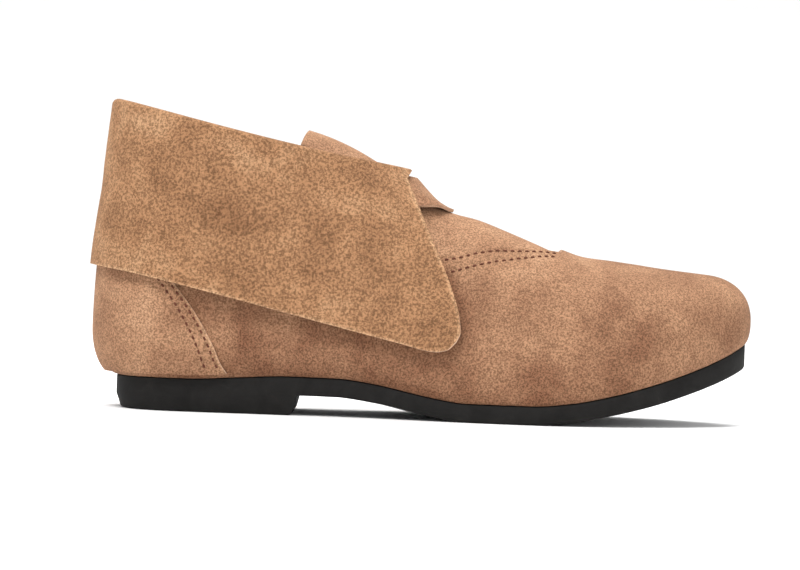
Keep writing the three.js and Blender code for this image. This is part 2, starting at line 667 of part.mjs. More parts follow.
// Cuff: the top of the shaft turned down over the outside, round the heel from one front edge to the other.
function cuff() {
  const collarPoint = (side, u) => last(side, u, collarPlace(side, u));
  const hemLine = (x) => mix(HEM_FRONT, HEM_BACK, along(CUFF_HEM, "rise", x / CUFF_REACH));
  const patch = (side) => {
    const parted = (u) => CUFF_PARTING / 2 - Math.abs(collarPoint(side, u).y);
    const foldRib = crossing(parted, SHAFT_RIB, THROAT_END);
    const fold = collarPoint(side, foldRib);
    const frontFold = { u: foldRib, v: collarPlace(side, foldRib) };
    const fronts = CUFF_ROWS.map((down) => {
      const x = fold.x + CUFF_FLARE * along(CUFF_FRONT, "forward", down);
      const z = fold.z - CUFF_DROP * down;
      return locate(side, x, z, cuffStandoff(1, down) + CUFF_THICKNESS);
    });
    const corner = fronts.at(-1);
    const column = (share) => {
      const top = collarPlace(side, share * foldRib);
      const hem = crossing(
        (v) => {
          const point = offLast(side, share * corner.u, v, cuffStandoff(share, 1) + CUFF_THICKNESS);
          return point.z - hemLine(point.x);
        },
        -1,
        1,
      );
      const falls = CUFF_ROWS.map((down, j) => {
        const frontShare = (fronts[j].v - frontFold.v) / (corner.v - frontFold.v);
        const v = mix(top, hem, mix(down, frontShare, share ** 2));
        const u = share * fronts[j].u;
        const standoff = cuffStandoff(share, down);
        return { face: offLast(side, u, v, standoff + CUFF_THICKNESS), back: offLast(side, u, v, standoff) };
      });
      return [...foldSection(side, share, foldRib), ...falls];
    };
    return { turned: side === LATERAL, grid: CUFF_COLUMNS.map(column) };
  };
  // Half a turn over the collar, from the middle of the wall's edge to the top of the fall.
  const foldSection = (side, share, foldRib) => {
    const u = share * foldRib;
    const v = collarPlace(side, u);
    const normal = lastNormal(side, u, v);
    const ahead = collarPoint(side, Math.min(foldRib, u + SMALL));
    const run = ahead.sub(collarPoint(side, Math.max(0, Math.min(foldRib, u + SMALL) - 2 * SMALL)));
    if (share === 0) run.set(0, side, 0);
    const rise = run.cross(normal).normalize();
    if (rise.z < 0) rise.negate();
    const outer = cuffStandoff(share, 0) + CUFF_THICKNESS / 2;
    const inner = -UPPER_WALL / 2;
    const radius = (outer - inner) / 2;
    const centre = offLast(side, u, v, (outer + inner) / 2).addScaledVector(rise, FOLD_GAP);
    return FOLD_TURNS.map((turn) => {
      const arm = rise.clone().multiplyScalar(Math.sin(turn)).addScaledVector(normal, -Math.cos(turn));
      return {
        face: centre.clone().addScaledVector(arm, radius + CUFF_THICKNESS / 2),
        back: centre.clone().addScaledVector(arm, radius - CUFF_THICKNESS / 2),
      };
    });
  };
  return wallOf(SIDES.map(patch));
}

// Front flap: closes the front over the tongue, under the cuff.
function frontFlap() {
  const topLine = (x) => collarLine(x) - FLAP_TUCK;
  const length = FLAP_FRONT_STATION - FLAP_BACK_STATION;
  const bottomLine = (x) => FLAP_EDGE + (FLAP_CLIMB * (x / LENGTH - FLAP_BACK_STATION)) / length;
  const ridgeEnd = crossing((u) => overRidge(u, bottomLine), SHAFT_RIB, THROAT_END);
  const brow = crossing((u) => overRidge(u, topLine), SHAFT_RIB, THROAT_END);
  const sunk = SEAM_GAP - UPPER_WALL - FLAP_DEPTH;
  const deep = (point) => {
    const inwards = smooth(1 - (Math.abs(point.y) - FLAP_SUNK) / FLAP_RISE);
    return inwards * smooth((INSTEP_HEIGHT - point.z) / FLAP_FALL);
  };
  const patch = (side) => ({
    turned: side === MEDIAL,
    grid: [
      ...closing(ribAt(LENGTH * FLAP_BACK_STATION), brow, 12),
      ...closing(brow, ridgeEnd, 6).slice(1),
    ].map((u) => {
      const bottom = reach(side, u, bottomLine);
      const top = u < brow - SMALL ? reach(side, u, topLine) : 1;
      return spread(bottom, top, 5).map((v) => {
        const inner = mix(SEAM_GAP, sunk, deep(last(side, u, v)));
        return { face: offLast(side, u, v, inner + FLAP_THICKNESS), back: offLast(side, u, v, inner) };
      });
    }),
  });
  return wallOf(SIDES.map(patch));
}

// Tongue: under the edge of the throat, then free, rising through the collar to its straight tip.
function tongue() {
  const depth = -UPPER_WALL - SEAM_GAP - TONGUE_EASE;
  const front = LENGTH * TONGUE_FRONT_STATION;
  const free = LENGTH * TONGUE_FREE_STATION;
  const ribOf = (x) => crossing((u) => ribTop(LATERAL, u).x - x, SHAFT_RIB, 1);
  const across = spread(1, -1, 14);
  const sinking = LENGTH * TONGUE_DIP_STATION;
  const seated = spread(front, free, 11).map((x) => {
    const u = ribOf(x);
    const dip = TONGUE_DIP * smooth((sinking - x) / (sinking - free));
    const nose = TONGUE_NOSE * smooth((x - free) / (front - free)) + TONGUE_TUCK;
    return across.map((share) => {
      const side = share < 0 ? LATERAL : MEDIAL;
      const sideways = (v) => Math.abs(last(side, u, v).y - ribTop(side, u).y);
      const open = u < THROAT_END ? upperEdge(side, u) : 1;
      const wanted = Math.abs(share) * (sideways(open) + nose);
      const v = share === 0 ? 1 : crossing((w) => wanted - sideways(w), 0, 1);
      return offLast(side, u, v, depth - dip * (1 - share ** 2));
    });
  });
  const root = seated.at(-1);
  const middle = (across.length - 1) / 2;
  const tip = new THREE.Vector3(TONGUE_TIP_X, 0, TONGUE_TIP_HEIGHT);
  const freeEdge = (end, share) => {
    const table = [{ at: 0, x: end.x / LENGTH, height: end.z / INSTEP_HEIGHT, half: 1 }, ...TONGUE_EDGE];
    const [x, z] = [LENGTH * along(table, "x", share), INSTEP_HEIGHT * along(table, "height", share)];
    const side = Math.sign(end.y);
    const place = locate(side, x, z, depth);
    const edge = offLast(side, place.u, place.v, depth);
    return edge.setY(edge.y * along(table, "half", share));
  };
  const loose = spread(0, 1, 9).slice(1).map((share) => {
    const centre = root[middle].clone().lerp(tip, share);
    centre.z += 4 * TONGUE_BOW * share * (1 - share);
    const ends = [root[0], root.at(-1)].map((end) => ({ end, edge: freeEdge(end, share) }));
    return root.map((point, j) => {
      const { end, edge } = ends[j < middle ? 0 : 1];
      const part = (key) => (point[key] - root[middle][key]) / (end[key] - root[middle][key]);
      const place = (key) => mix(centre[key], edge[key], part(key));
      return new THREE.Vector3(place("x"), place("y"), place("z"));
    });
  });
  const grid = [...seated, ...loose];
  return wallOf([{ turned: false, grid: backed(grid, TONGUE_THICKNESS) }]);
}

// Colours of the leathers and the sole
const SMOOTH_SUEDE = { color: 0xb88c68, roughness: 0.95, metalness: 0 };
const ROUGH_SUEDE = { color: 0xb2855a, roughness: 1, metalness: 0 };
const LINING = { color: 0xa98a68, roughness: 0.9, metalness: 0 };
const BLACK_RUBBER = { color: 0x262422, roughness: 0.65, metalness: 0 };

const PIECES = [
  { name: "outsole", make: outsole, finish: BLACK_RUBBER },
  { name: "insole", make: insole, finish: LINING },
  { name: "upper", make: upper, finish: SMOOTH_SUEDE },
  { name: "heel_counter", make: heelCounter, finish: SMOOTH_SUEDE },
  { name: "tongue", make: tongue, finish: SMOOTH_SUEDE },
  { name: "front_flap", make: frontFlap, finish: SMOOTH_SUEDE },
  { name: "cuff", make: cuff, finish: ROUGH_SUEDE },
];

const shoe = new THREE.Group();
for (const { name, make, finish } of PIECES) {
  const mesh = new THREE.Mesh(make(), new THREE.MeshStandardMaterial(finish));
  mesh.name = name;
  shoe.add(mesh);
}

// The origin is the middle of the heel's flat underside.
const heelBack = featherEdge(LATERAL, 0, SOLE_MARGIN - HEEL_TAPER - HEEL_EDGE).x;
const heelFront = HEEL_BREAST - HEEL_RAKE - HEEL_EDGE;
shoe.position.x = -(heelBack + heelFront) / 2;

export default shoe;
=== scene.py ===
"""The looks of a suede ankle shoe with a turned-down cuff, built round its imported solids."""
import math

import bpy
import numpy as np
from mathutils import Matrix, Vector


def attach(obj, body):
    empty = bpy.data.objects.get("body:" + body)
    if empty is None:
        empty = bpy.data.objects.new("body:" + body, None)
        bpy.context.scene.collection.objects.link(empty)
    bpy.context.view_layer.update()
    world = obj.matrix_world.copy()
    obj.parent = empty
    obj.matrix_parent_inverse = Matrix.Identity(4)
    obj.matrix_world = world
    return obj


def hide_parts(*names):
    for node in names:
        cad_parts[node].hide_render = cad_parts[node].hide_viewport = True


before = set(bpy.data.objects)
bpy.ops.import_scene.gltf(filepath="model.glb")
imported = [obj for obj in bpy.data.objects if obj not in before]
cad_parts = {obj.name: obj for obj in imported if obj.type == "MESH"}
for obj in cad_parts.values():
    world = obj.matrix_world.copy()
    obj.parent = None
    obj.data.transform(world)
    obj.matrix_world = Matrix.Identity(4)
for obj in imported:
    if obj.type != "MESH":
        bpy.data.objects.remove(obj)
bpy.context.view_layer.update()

# Sizes in millimetres, as in the solids
LENGTH = 284
BALL_WIDTH = 100
HEEL_WIDTH = 68
ANKLE_WIDTH = 64
ANKLE_BACK = 10
LEG_HEIGHT = 150
COLLAR_HEIGHT = 129.8
INSTEP_HEIGHT = 103
TOE_HEIGHT = 65.4
HEEL_ROUND = 34
TOE_TAPER = 90
TOE_SWING = 7
HEEL_BULGE = 20
HEEL_OVERHANG = 10.5
COLLAR_SAG = 1.8
SOLE_THICKNESS = 7.6
TOE_THICKNESS = 10.6
HEEL_LIFT = 6.2
TOE_SPRING = 25
HEEL_BREAST = 88.5
HEEL_RAKE = 1.7
HEEL_TAPER = 1.5
HEEL_EDGE = 2
SOLE_BEVEL = 1.2
SOLE_MARGIN = 1
INSOLE_THICKNESS = 2.4
INSOLE_EASE = 0.6
UPPER_WALL = 1.6
COUNTER_THICKNESS = 1.4
TONGUE_THICKNESS = 1.6
FLAP_THICKNESS = 1.3
CUFF_THICKNESS = 1.6
SEAM_GAP = 0.35
COUNTER_TOP = 75
CUFF_DROP = 69
CUFF_FLARE = 24
CUFF_PARTING = 16
FOLD_GAP = 0.5
HEM_BACK = 61.5
HEM_FRONT = 29.5
FLAP_EDGE = 88.5
FLAP_CLIMB = 2.2
FLAP_TUCK = 0.6
FLAP_DEPTH = 0.8
FLAP_SUNK = 4
FLAP_RISE = 11
FLAP_FALL = 10
TONGUE_TUCK = 7
TONGUE_NOSE = 8
TONGUE_EASE = 0.5
TONGUE_DIP = 1
TONGUE_BOW = 3
TONGUE_TIP_X = 89.5
TONGUE_TIP_HEIGHT = 122.2
WAIST_STATION = 0.2
SHAFT_STATION = 0.405
SHIN_STATION = 0.394
BROW_STATION = 0.921
COLLAR_BACK_STATION = 0.0254
COLLAR_FRONT_STATION = 0.4665
FLAP_BACK_STATION = 0.4
FLAP_FRONT_STATION = 0.54
TONGUE_FRONT_STATION = 0.745
TONGUE_DIP_STATION = 0.537
TONGUE_FREE_STATION = 0.478
HEEL_SHARE = 0.16
TOE_SHARE = 0.38
TOE_POINT = 2
SHAFT_LEAN = 1.6
INSTEP_CROWN = 0.8
TOE_CROWN = 1.15
FAN_START = 0.56
FAN_END = 0.85
ANKLE_OVAL = 0.9
SHIN_OVAL = 1.7
REAR_RIBS = 0.8
LATERAL = -1
MEDIAL = 1
HALF_PI = math.pi / 2
SMALL = 1e-3
CUFF_CLEARANCE = SEAM_GAP + max(COUNTER_THICKNESS, FLAP_THICKNESS) + SEAM_GAP
CUFF_REACH = LENGTH * COLLAR_FRONT_STATION + CUFF_FLARE

# The solids' tables, each a place along the shoe or the piece and its columns
OUTLINE = {
    "at": [0, 0.1, 0.2, 0.32, 0.43, 0.53, 0.62, 0.7, 0.78, 0.86, 1],
    "lateral": [0.5, 0.5, 0.515, 0.501, 0.499, 0.495, 0.501, 0.5, 0.49, 0.475, 0.43],
    "medial": [0.5, 0.5, 0.5, 0.46, 0.442, 0.45, 0.475, 0.5, 0.505, 0.495, 0.45],
    "ball": [0, 0, 0, 0.15, 0.35, 0.65, 0.9, 1, 1, 1, 1],
    "swing": [0, 0, 0, 0, 0, 0.01, 0.08, 0.15, 0.3, 0.53, 1],
}
FLANK = {
    "at": [0, 0.08, 0.15, 0.35, 0.55, 0.7, 0.85, 1],
    "bulge": [1, 0.95, 0.9, 0.75, 0.7, 0.65, 0.55, 0.47],
    "overhang": [1, 0.67, 0.48, 0.48, 0.38, 0.33, 0.33, 0.3],
}
UNDERSIDE = {
    "at": [0, 0.15, 0.22, 0.3, 0.37, 0.43, 0.48, 0.53, 0.565, 0.66, 0.72, 0.78, 0.84, 0.9, 0.95, 0.985, 1],
    "lift": [1, 1, 1.18, 1.38, 1.36, 1.06, 0.6, 0.18, 0, 0, 0, 0, 0, 0, 0, 0, 0],
    "spring": [0, 0, 0, 0, 0, 0, 0, 0, 0, 0, 0.064, 0.19, 0.356, 0.575, 0.79, 0.97, 1.05],
    "thick": [0, 0, 0, 0, 0, 0, 0, 0, 0, 0, 0, 0.1, 0.3, 0.43, 0.62, 0.87, 1],
}
RIDGE = {
    "at": [0.394, 0.4155, 0.4437, 0.4665, 0.5018, 0.537, 0.579, 0.6197, 0.6637, 0.7025, 0.734, 0.789,
           0.852, 0.921],
    "rise": [1.824, 1.518, 1.234, 1.05, 0.84, 0.681, 0.604, 0.492, 0.359, 0.235, 0.16, 0.115,
             0.053, 0],
}
THROAT = {
    "at": [0.4, 0.419, 0.4366, 0.4542, 0.4683, 0.4859, 0.5176, 0.5458, 0.575, 0.609, 0.6373, 0.6736, 0.6937,
           0.7025, 0.7077, 0.7148],
    "height": [1.3, 1.06, 0.93, 0.77, 0.66, 0.645, 0.673, 0.683, 0.705, 0.717, 0.717, 0.7165, 0.711,
               0.708, 0.75, 0.9],
}
COUNTER_FRONT = {
    "at": [0.16, 0.27, 0.38, 0.49, 0.61, 0.7, 0.85, 1],
    "forward": [0.22, 0.2, 0.187, 0.171, 0.15, 0.131, 0.1, 0.065],
}
CUFF_FRONT = {
    "at": [0, 0.215, 0.394, 0.49, 0.69, 0.84, 0.94, 1],
    "forward": [0, 0.27, 0.49, 0.62, 0.86, 0.99, 1.02, 0.95],
}
CUFF_HEM = {
    "at": [-0.02, 0.102, 0.307, 0.575, 0.831, 0.939, 0.968, 0.993],
    "rise": [1, 0.91, 0.7, 0.393, 0.106, 0, 0.028, 0.144],
}
CUFF_STANDOFF = {
    "at": [0, 0.5, 0.75, 1],
    "back": [1, 0.75, 1.12, 1.43],
    "side": [1, 1.3, 1.7, 2.1],
    "front": [1, 1.2, 1.5, 1.9],
}
TONGUE_EDGE = {
    "at": [0.2, 0.4, 0.6, 0.8, 1],
    "x": [0.452, 0.421, 0.385, 0.346, 0.3067],
    "height": [0.72, 0.86, 0.975, 1.06, 1.12],
    "half": [0.97, 0.92, 0.87, 0.82, 0.78],
}


def mix(a, b, t):
    return a + (b - a) * t


def smooth(t):
    t = np.clip(t, 0, 1)
    return t * t * (3 - 2 * t)


def along(table, column, place):
    """A column of a table at places, on a smooth curve through its rows that never overshoots them."""
    at, value = np.array(table["at"], float), np.array(table[column], float)
    slope = np.diff(value) / np.diff(at)
    turn = slope[:-1] * slope[1:]
    total = np.where(turn > 0, slope[:-1] + slope[1:], 1)
    tangent = np.concatenate([slope[:1], np.where(turn > 0, 2 * turn / total, 0), slope[-1:]])
    place = np.clip(place, at[0], at[-1])
    i = np.clip(np.searchsorted(at, place, side="right") - 1, 0, len(slope) - 1)
    span = at[i + 1] - at[i]
    t = (place - at[i]) / span
    rest = 1 - t
    ends = value[i] * rest * rest * (1 + 2 * t) + value[i + 1] * t * t * (3 - 2 * t)
    return ends + span * t * rest * (tangent[i] * rest - tangent[i + 1] * t)


def crossing(grows, low, high, halvings=26):
    """Where a function that grows from negative to positive crosses zero, for whole arrays at once."""
    low, high = np.broadcast_arrays(np.asarray(low, float), np.asarray(high, float))
    for _ in range(halvings):
        middle = (low + high) / 2
        above = grows(middle) > 0
        low, high = np.where(above, low, middle), np.where(above, middle, high)
    return (low + high) / 2


def rib_x(u):
    toe_rib = 1 - TOE_SHARE
    heel = HEEL_ROUND * (1 - np.cos(HALF_PI * np.minimum(u, HEEL_SHARE) / HEEL_SHARE))
    toe = LENGTH - TOE_TAPER * (1 - np.sin(HALF_PI * (np.maximum(u, toe_rib) - toe_rib) / TOE_SHARE))
    middle = mix(HEEL_ROUND, LENGTH - TOE_TAPER, (u - HEEL_SHARE) / (toe_rib - HEEL_SHARE))
    return np.where(u < HEEL_SHARE, heel, np.where(u > toe_rib, toe, middle))


def rib_at(x):
    return crossing(lambda u: rib_x(u) - x, np.zeros_like(np.asarray(x, float)), 1)


SHAFT_RIB = float(rib_at(LENGTH * SHAFT_STATION))


def half_width(side, x):
    place = x / LENGTH
    width = mix(HEEL_WIDTH, BALL_WIDTH, along(OUTLINE, "ball", place))
    share = along(OUTLINE, "lateral" if side == LATERAL else "medial", place)
    heel = np.clip(1 - x / HEEL_ROUND, 0, 1)
    toe = np.clip(1 - (LENGTH - x) / TOE_TAPER, 0, 1)
    return width * share * np.sqrt(1 - heel**2) * (1 - toe**TOE_POINT) ** (1 / TOE_POINT)


def centre_line(x):
    return TOE_SWING * along(OUTLINE, "swing", x / LENGTH)


def rim(side, u):
    x = rib_x(u)
    return x, centre_line(x) + side * half_width(side, x)


def rim_normal(side, u):
    ahead = rim(side, np.minimum(u + SMALL / 2, 1))
    behind = rim(side, np.maximum(u - SMALL / 2, 0))
    nx, ny = -side * (ahead[1] - behind[1]), side * (ahead[0] - behind[0])
    size = np.hypot(nx, ny)
    nx, ny = nx / size, ny / size
    end = (u < SMALL) | (u > 1 - SMALL)
    return np.where(end, np.where(u < SMALL, -1.0, 1.0), nx), np.where(end, 0.0, ny)


def underside(x):
    place = x / LENGTH
    return HEEL_LIFT * along(UNDERSIDE, "lift", place) + TOE_SPRING * along(UNDERSIDE, "spring", place)


def sole_depth(x):
    return mix(SOLE_THICKNESS, TOE_THICKNESS, along(UNDERSIDE, "thick", x / LENGTH))


def sole_top(x):
    return underside(x) + sole_depth(x)


def feather_edge(side, u, margin):
    x, y = rim(side, u)
    nx, ny = rim_normal(side, u)
    out = margin - HEEL_OVERHANG * along(FLANK, "overhang", x / LENGTH)
    return x + nx * out, y + ny * out


def ridge_height(x):
    return mix(TOE_HEIGHT, INSTEP_HEIGHT, along(RIDGE, "rise", x / LENGTH))


def rib_top(side, u):
    shin, shaft = LENGTH * SHIN_STATION, LENGTH * SHAFT_STATION
    turn = np.pi * np.clip(u / SHAFT_RIB, 0, 1)
    oval = mix(ANKLE_OVAL, SHIN_OVAL, smooth(u / SHAFT_RIB))
    leg_y = side * ANKLE_WIDTH / 2 * np.abs(np.sin(turn)) ** oval
    leg_z = mix(LEG_HEIGHT, ridge_height(shin), np.clip(u / SHAFT_RIB, 0, 1) ** 3)
    leg_x = mix(ANKLE_BACK, shin, (1 - np.cos(turn)) / 2)
    x = mix(shin, LENGTH * BROW_STATION, (rib_x(u) - shaft) / (LENGTH - shaft))
    y, z = centre_line(x), ridge_height(x)
    leg = u < SHAFT_RIB
    return np.where(leg, leg_x, x), np.where(leg, leg_y, y), np.where(leg, leg_z, z)


def last(side, u, v):
    """The outside of the last: on each rib v is -1 at the sole, 0 at the widest line and 1 at the top."""
    u, v = np.broadcast_arrays(np.asarray(u, float), np.asarray(v, float))
    x, y = rim(side, u)
    nx, ny = rim_normal(side, u)
    overhang = HEEL_OVERHANG * along(FLANK, "overhang", x / LENGTH)
    bulge = HEEL_BULGE * along(FLANK, "bulge", x / LENGTH)
    foot = sole_top(x - nx * overhang) + SEAM_GAP
    low_turn = HALF_PI * (np.minimum(v, 0) + 1)
    inward = overhang * (np.sin(low_turn) - 1)
    low = np.stack([x + nx * inward, y + ny * inward, foot + bulge * (1 - np.cos(low_turn))], -1)
    up = np.maximum(v, 0)
    waist, shaft = LENGTH * WAIST_STATION, LENGTH * SHAFT_STATION
    closed = smooth((rib_x(u) - waist) / (shaft - waist))
    turn = HALF_PI * up
    fan = smooth((rib_x(u) / LENGTH - FAN_START) / (FAN_END - FAN_START))
    crown = (1 - np.cos(turn)) ** mix(INSTEP_CROWN, TOE_CROWN, fan)
    lean = mix(np.sin(turn) ** 2, crown, fan)
    tx, ty, tz = rib_top(side, u)
    high = np.stack([
        mix(x, tx, mix(up**SHAFT_LEAN, lean, closed)),
        mix(y, ty, mix(up**SHAFT_LEAN, crown, closed)),
        mix(foot + bulge, tz, mix(up, np.sin(turn), closed)),
    ], -1)
    return np.where((v <= 0)[..., None], low, high)


def unit(vectors):
    return vectors / np.maximum(np.linalg.norm(vectors, axis=-1, keepdims=True), 1e-9)


def last_normal(side, u, v):
    u, v = np.broadcast_arrays(np.asarray(u, float), np.asarray(v, float))
    forward = last(side, np.minimum(1, u + SMALL), v) - last(side, np.maximum(0, u - SMALL), v)
    upward = last(side, u, np.minimum(1, v + SMALL)) - last(side, u, np.maximum(-1, v - SMALL))
    normal = -side * np.cross(forward, upward)
    middle = (u < SMALL) | (u > 1 - SMALL) | ((u >= SHAFT_RIB) & (v > 1 - SMALL))
    normal[..., 1] = np.where(middle, 0, normal[..., 1])
    return unit(normal)


def off_last(side, u, v, offset):
    return last(side, u, v) + last_normal(side, u, v) * np.asarray(offset, float)[..., None]


def collar_line(x):
    back = LENGTH * COLLAR_BACK_STATION
    t = (x - back) / (LENGTH * COLLAR_FRONT_STATION - back)
    return mix(COLLAR_HEIGHT, INSTEP_HEIGHT, t) - 4 * COLLAR_SAG * t * (1 - t)


def throat_line(x):
    return INSTEP_HEIGHT * along(THROAT, "height", x / LENGTH)


def reach(side, u, line, steps=60):
    """The first place up each rib that reaches a line given as height over x, or the rib's top."""
    u = np.asarray(u, float)

    def short(v):
        point = last(side, u, v)
        return point[..., 2] - line(point[..., 0])

    scan = np.linspace(0, 1, steps + 1)
    above = np.array([short(np.full_like(u, v)) > 0 for v in scan])
    first = above.argmax(0)
    high = scan[first]
    found = crossing(short, np.maximum(0, high - 1 / steps), high)
    return np.where(above.any(0), found, 1.0)


def collar_place(side, u):
    return reach(side, u, collar_line)


def upper_edge(side, u):
    return reach(side, u, lambda x: np.minimum(collar_line(x), throat_line(x)))


def locate(side, x, z, offset):
    """The rib and place on a layer over the last that show at x and z from the side."""
    x, z, offset = np.broadcast_arrays(*(np.asarray(a, float) for a in (x, z, offset)))

    def level(u):
        return crossing(lambda v: off_last(side, u, v, offset)[..., 2] - z, np.full(x.shape, -1.0), 1, 20)

    u = crossing(lambda rib: off_last(side, rib, level(rib), offset)[..., 0] - x,
                 np.full(x.shape, HEEL_SHARE / 2), 1, 20)
    return u, level(u)


def over_ridge(u, line):
    top = rib_top(LATERAL, u)
    return line(top[0]) - top[2]


THROAT_END = float(crossing(lambda u: over_ridge(u, throat_line), SHAFT_RIB, REAR_RIBS))
HEEL_BACK = float(feather_edge(LATERAL, np.array(0.0), SOLE_MARGIN - HEEL_TAPER - HEEL_EDGE)[0])
ORIGIN = np.array([(HEEL_BACK + HEEL_BREAST - HEEL_RAKE - HEEL_EDGE) / 2, 0, 0])


# The camera stands level with the shoe, on its outer side, and is rolled as the photograph is
CAMERA_SPOT = (0.0902, -1.2, 0.0654)
FRAME_CENTRE = (0.08195, 0, 0.0565)
FRAME_WIDTH = 0.3469
ROLL = math.radians(1.9)


def make_camera():
    data = bpy.data.cameras.new("camera")
    data.sensor_width = 36
    data.lens = data.sensor_width * -CAMERA_SPOT[1] / FRAME_WIDTH
    camera = bpy.data.objects.new("camera", data)
    bpy.context.scene.collection.objects.link(camera)
    ahead = (Vector(FRAME_CENTRE) - Vector(CAMERA_SPOT)).normalized()
    right = Vector((math.cos(ROLL), 0, math.sin(ROLL)))
    right = (right - ahead * right.dot(ahead)).normalized()
    up = right.cross(ahead)
    camera.matrix_world = Matrix.Translation(CAMERA_SPOT) @ Matrix((right, up, -ahead)).transposed().to_4x4()
    data.clip_start = 0.05
    data.clip_end = 50
    bpy.context.scene.camera = camera


make_camera()


# Materials
MOTTLE = 0.6
TONE_STOPS = (0.22, 0.5, 0.78)
SPECKLE_DARK = (0.5, 0.47, 0.44, 1)
SPECKLE_MIDDLE = (0.86, 0.86, 0.86, 1)
SPECKLE_LIGHT = (1.25, 1.25, 1.25, 1)


def shader(name, roughness, **sockets):
    """A material with its shader, and a maker of nodes in it."""
    material = bpy.data.materials.new(name)
    material.use_nodes = True
    tree = material.node_tree
    principled = tree.nodes["Principled BSDF"]
    principled.inputs["Roughness"].default_value = roughness
    for key, value in sockets.items():
        principled.inputs[key.replace("_", " ")].default_value = value
    coordinates = tree.nodes.new("ShaderNodeTexCoord").outputs["Object"]
    return material, tree, principled, coordinates


def linear(colour):
    """A colour of the screen, 0 to 255, as light."""
    parts = [c / 255 for c in colour]
    return [c / 12.92 if c <= 0.04045 else ((c + 0.055) / 1.055) ** 2.4 for c in parts] + [1]


def noise(tree, coordinates, size_mm, detail, rough, distortion=0.0):
    """Soft lumps of about the given size, between 0 and 1."""
    node = tree.nodes.new("ShaderNodeTexNoise")
    node.inputs["Scale"].default_value = 1000 / size_mm
    node.inputs["Detail"].default_value = detail
    node.inputs["Roughness"].default_value = rough
    node.inputs["Distortion"].default_value = distortion
    tree.links.new(coordinates, node.inputs["Vector"])
    return node.outputs["Fac"]


def ramp(tree, factor, stops):
    node = tree.nodes.new("ShaderNodeValToRGB")
    elements = node.color_ramp.elements
    while len(elements) < len(stops):
        elements.new(0.5)
    for element, (place, colour) in zip(elements, stops):
        element.position = place
        element.color = colour
    tree.links.new(factor, node.inputs["Fac"])
    return node.outputs["Color"]


def blend(tree, factor, a, b, kind="MIX"):
    """Two colours mixed by a factor, each a link or a value."""
    node = tree.nodes.new("ShaderNodeMix")
    node.data_type = "RGBA"
    node.blend_type = kind
    for socket, value in ((node.inputs["Factor"], factor), (node.inputs[6], a), (node.inputs[7], b)):
        if isinstance(value, bpy.types.NodeSocket):
            tree.links.new(value, socket)
        else:
            socket.default_value = value
    return node.outputs[2]


def maths(tree, operation, *values):
    node = tree.nodes.new("ShaderNodeMath")
    node.operation = operation
    for socket, value in zip(node.inputs, values):
        if isinstance(value, bpy.types.NodeSocket):
            tree.links.new(value, socket)
        else:
            socket.default_value = value
    return node.outputs[0]


def bump(tree, principled, height, distance_mm):
    node = tree.nodes.new("ShaderNodeBump")
    node.inputs["Strength"].default_value = 1
    node.inputs["Distance"].default_value = distance_mm / 1000
    tree.links.new(height, node.inputs["Height"])
    tree.links.new(node.outputs["Normal"], principled.inputs["Normal"])


def attribute(tree, name):
    node = tree.nodes.new("ShaderNodeAttribute")
    node.attribute_name = name
    return node.outputs["Fac"]


def suede(name, dark, base, light, grain_mm, mottle_mm, nap_mm, contrast):
    """Napped leather: broad mottling, patches given through the point attribute shade, some of them painted
    shade and painted highlight, and a speckled grain.
    """
    material, tree, principled, where = shader(
        name, 0.95, Sheen_Weight=0.25, Sheen_Roughness=0.6, Specular_IOR_Level=0.2)
    principled.inputs["Sheen Tint"].default_value = linear(light)
    broad = noise(tree, where, mottle_mm, 3, 0.55, 0.3)
    broad = maths(tree, "MULTIPLY_ADD", broad, MOTTLE, (1 - MOTTLE) / 2)
    tone = maths(tree, "ADD", broad, attribute(tree, "shade"))
    colour = ramp(tree, tone, list(zip(TONE_STOPS, (linear(dark), linear(base), linear(light)))))
    grain = noise(tree, where, grain_mm, 5, 0.75)
    speckle = ramp(tree, grain, [(0.5 - contrast, SPECKLE_DARK), (0.5, SPECKLE_MIDDLE),
                                 (0.5 + contrast, SPECKLE_LIGHT)])
    colour = blend(tree, 1.0, colour, speckle, "MULTIPLY")
    tree.links.new(colour, principled.inputs["Base Color"])
    fibres = noise(tree, where, grain_mm * 0.45, 4, 0.7)
    height = maths(tree, "ADD", grain, maths(tree, "MULTIPLY", fibres, 0.5))
    bump(tree, principled, height, nap_mm)
    return material


SMOOTH_SUEDE = suede("smooth_suede", dark=(112, 76, 55), base=(150, 113, 86), light=(182, 145, 114),
                     grain_mm=0.8, mottle_mm=20, nap_mm=0.1, contrast=0.075)
ROUGH_SUEDE = suede("rough_suede", dark=(108, 74, 49), base=(146, 108, 77), light=(178, 142, 108),
                    grain_mm=1.05, mottle_mm=17, nap_mm=0.22, contrast=0.068)
CUT_EDGE = suede("cut_edge", dark=(164, 126, 100), base=(198, 162, 134), light=(220, 188, 162),
                 grain_mm=0.7, mottle_mm=8, nap_mm=0.1, contrast=0.2)
LINING = suede("lining_leather", dark=(110, 84, 62), base=(134, 106, 80), light=(154, 124, 98),
               grain_mm=0.8, mottle_mm=18, nap_mm=0.05, contrast=0.3)


def rubber():
    material, tree, principled, where = shader("black_rubber", 0.75, Specular_IOR_Level=0.16)
    scuff = noise(tree, where, 14, 5, 0.7, 0.6)
    colour = ramp(tree, scuff, [(0.35, linear((17, 16, 15))), (0.6, linear((25, 24, 23))),
                                (0.8, linear((38, 36, 34)))])
    tree.links.new(colour, principled.inputs["Base Color"])
    grain = noise(tree, where, 0.9, 3, 0.6)
    bump(tree, principled, grain, 0.05)
    return material


def thread():
    material, tree, principled, where = shader("thread", 0.85, Specular_IOR_Level=0.2)
    twist = noise(tree, where, 0.5, 2, 0.5)
    colour = ramp(tree, twist, [(0.3, linear((66, 36, 26))), (0.7, linear((102, 60, 44)))])
    tree.links.new(colour, principled.inputs["Base Color"])
    bump(tree, principled, twist, 0.1)
    return material


BLACK_RUBBER = rubber()
THREAD = thread()


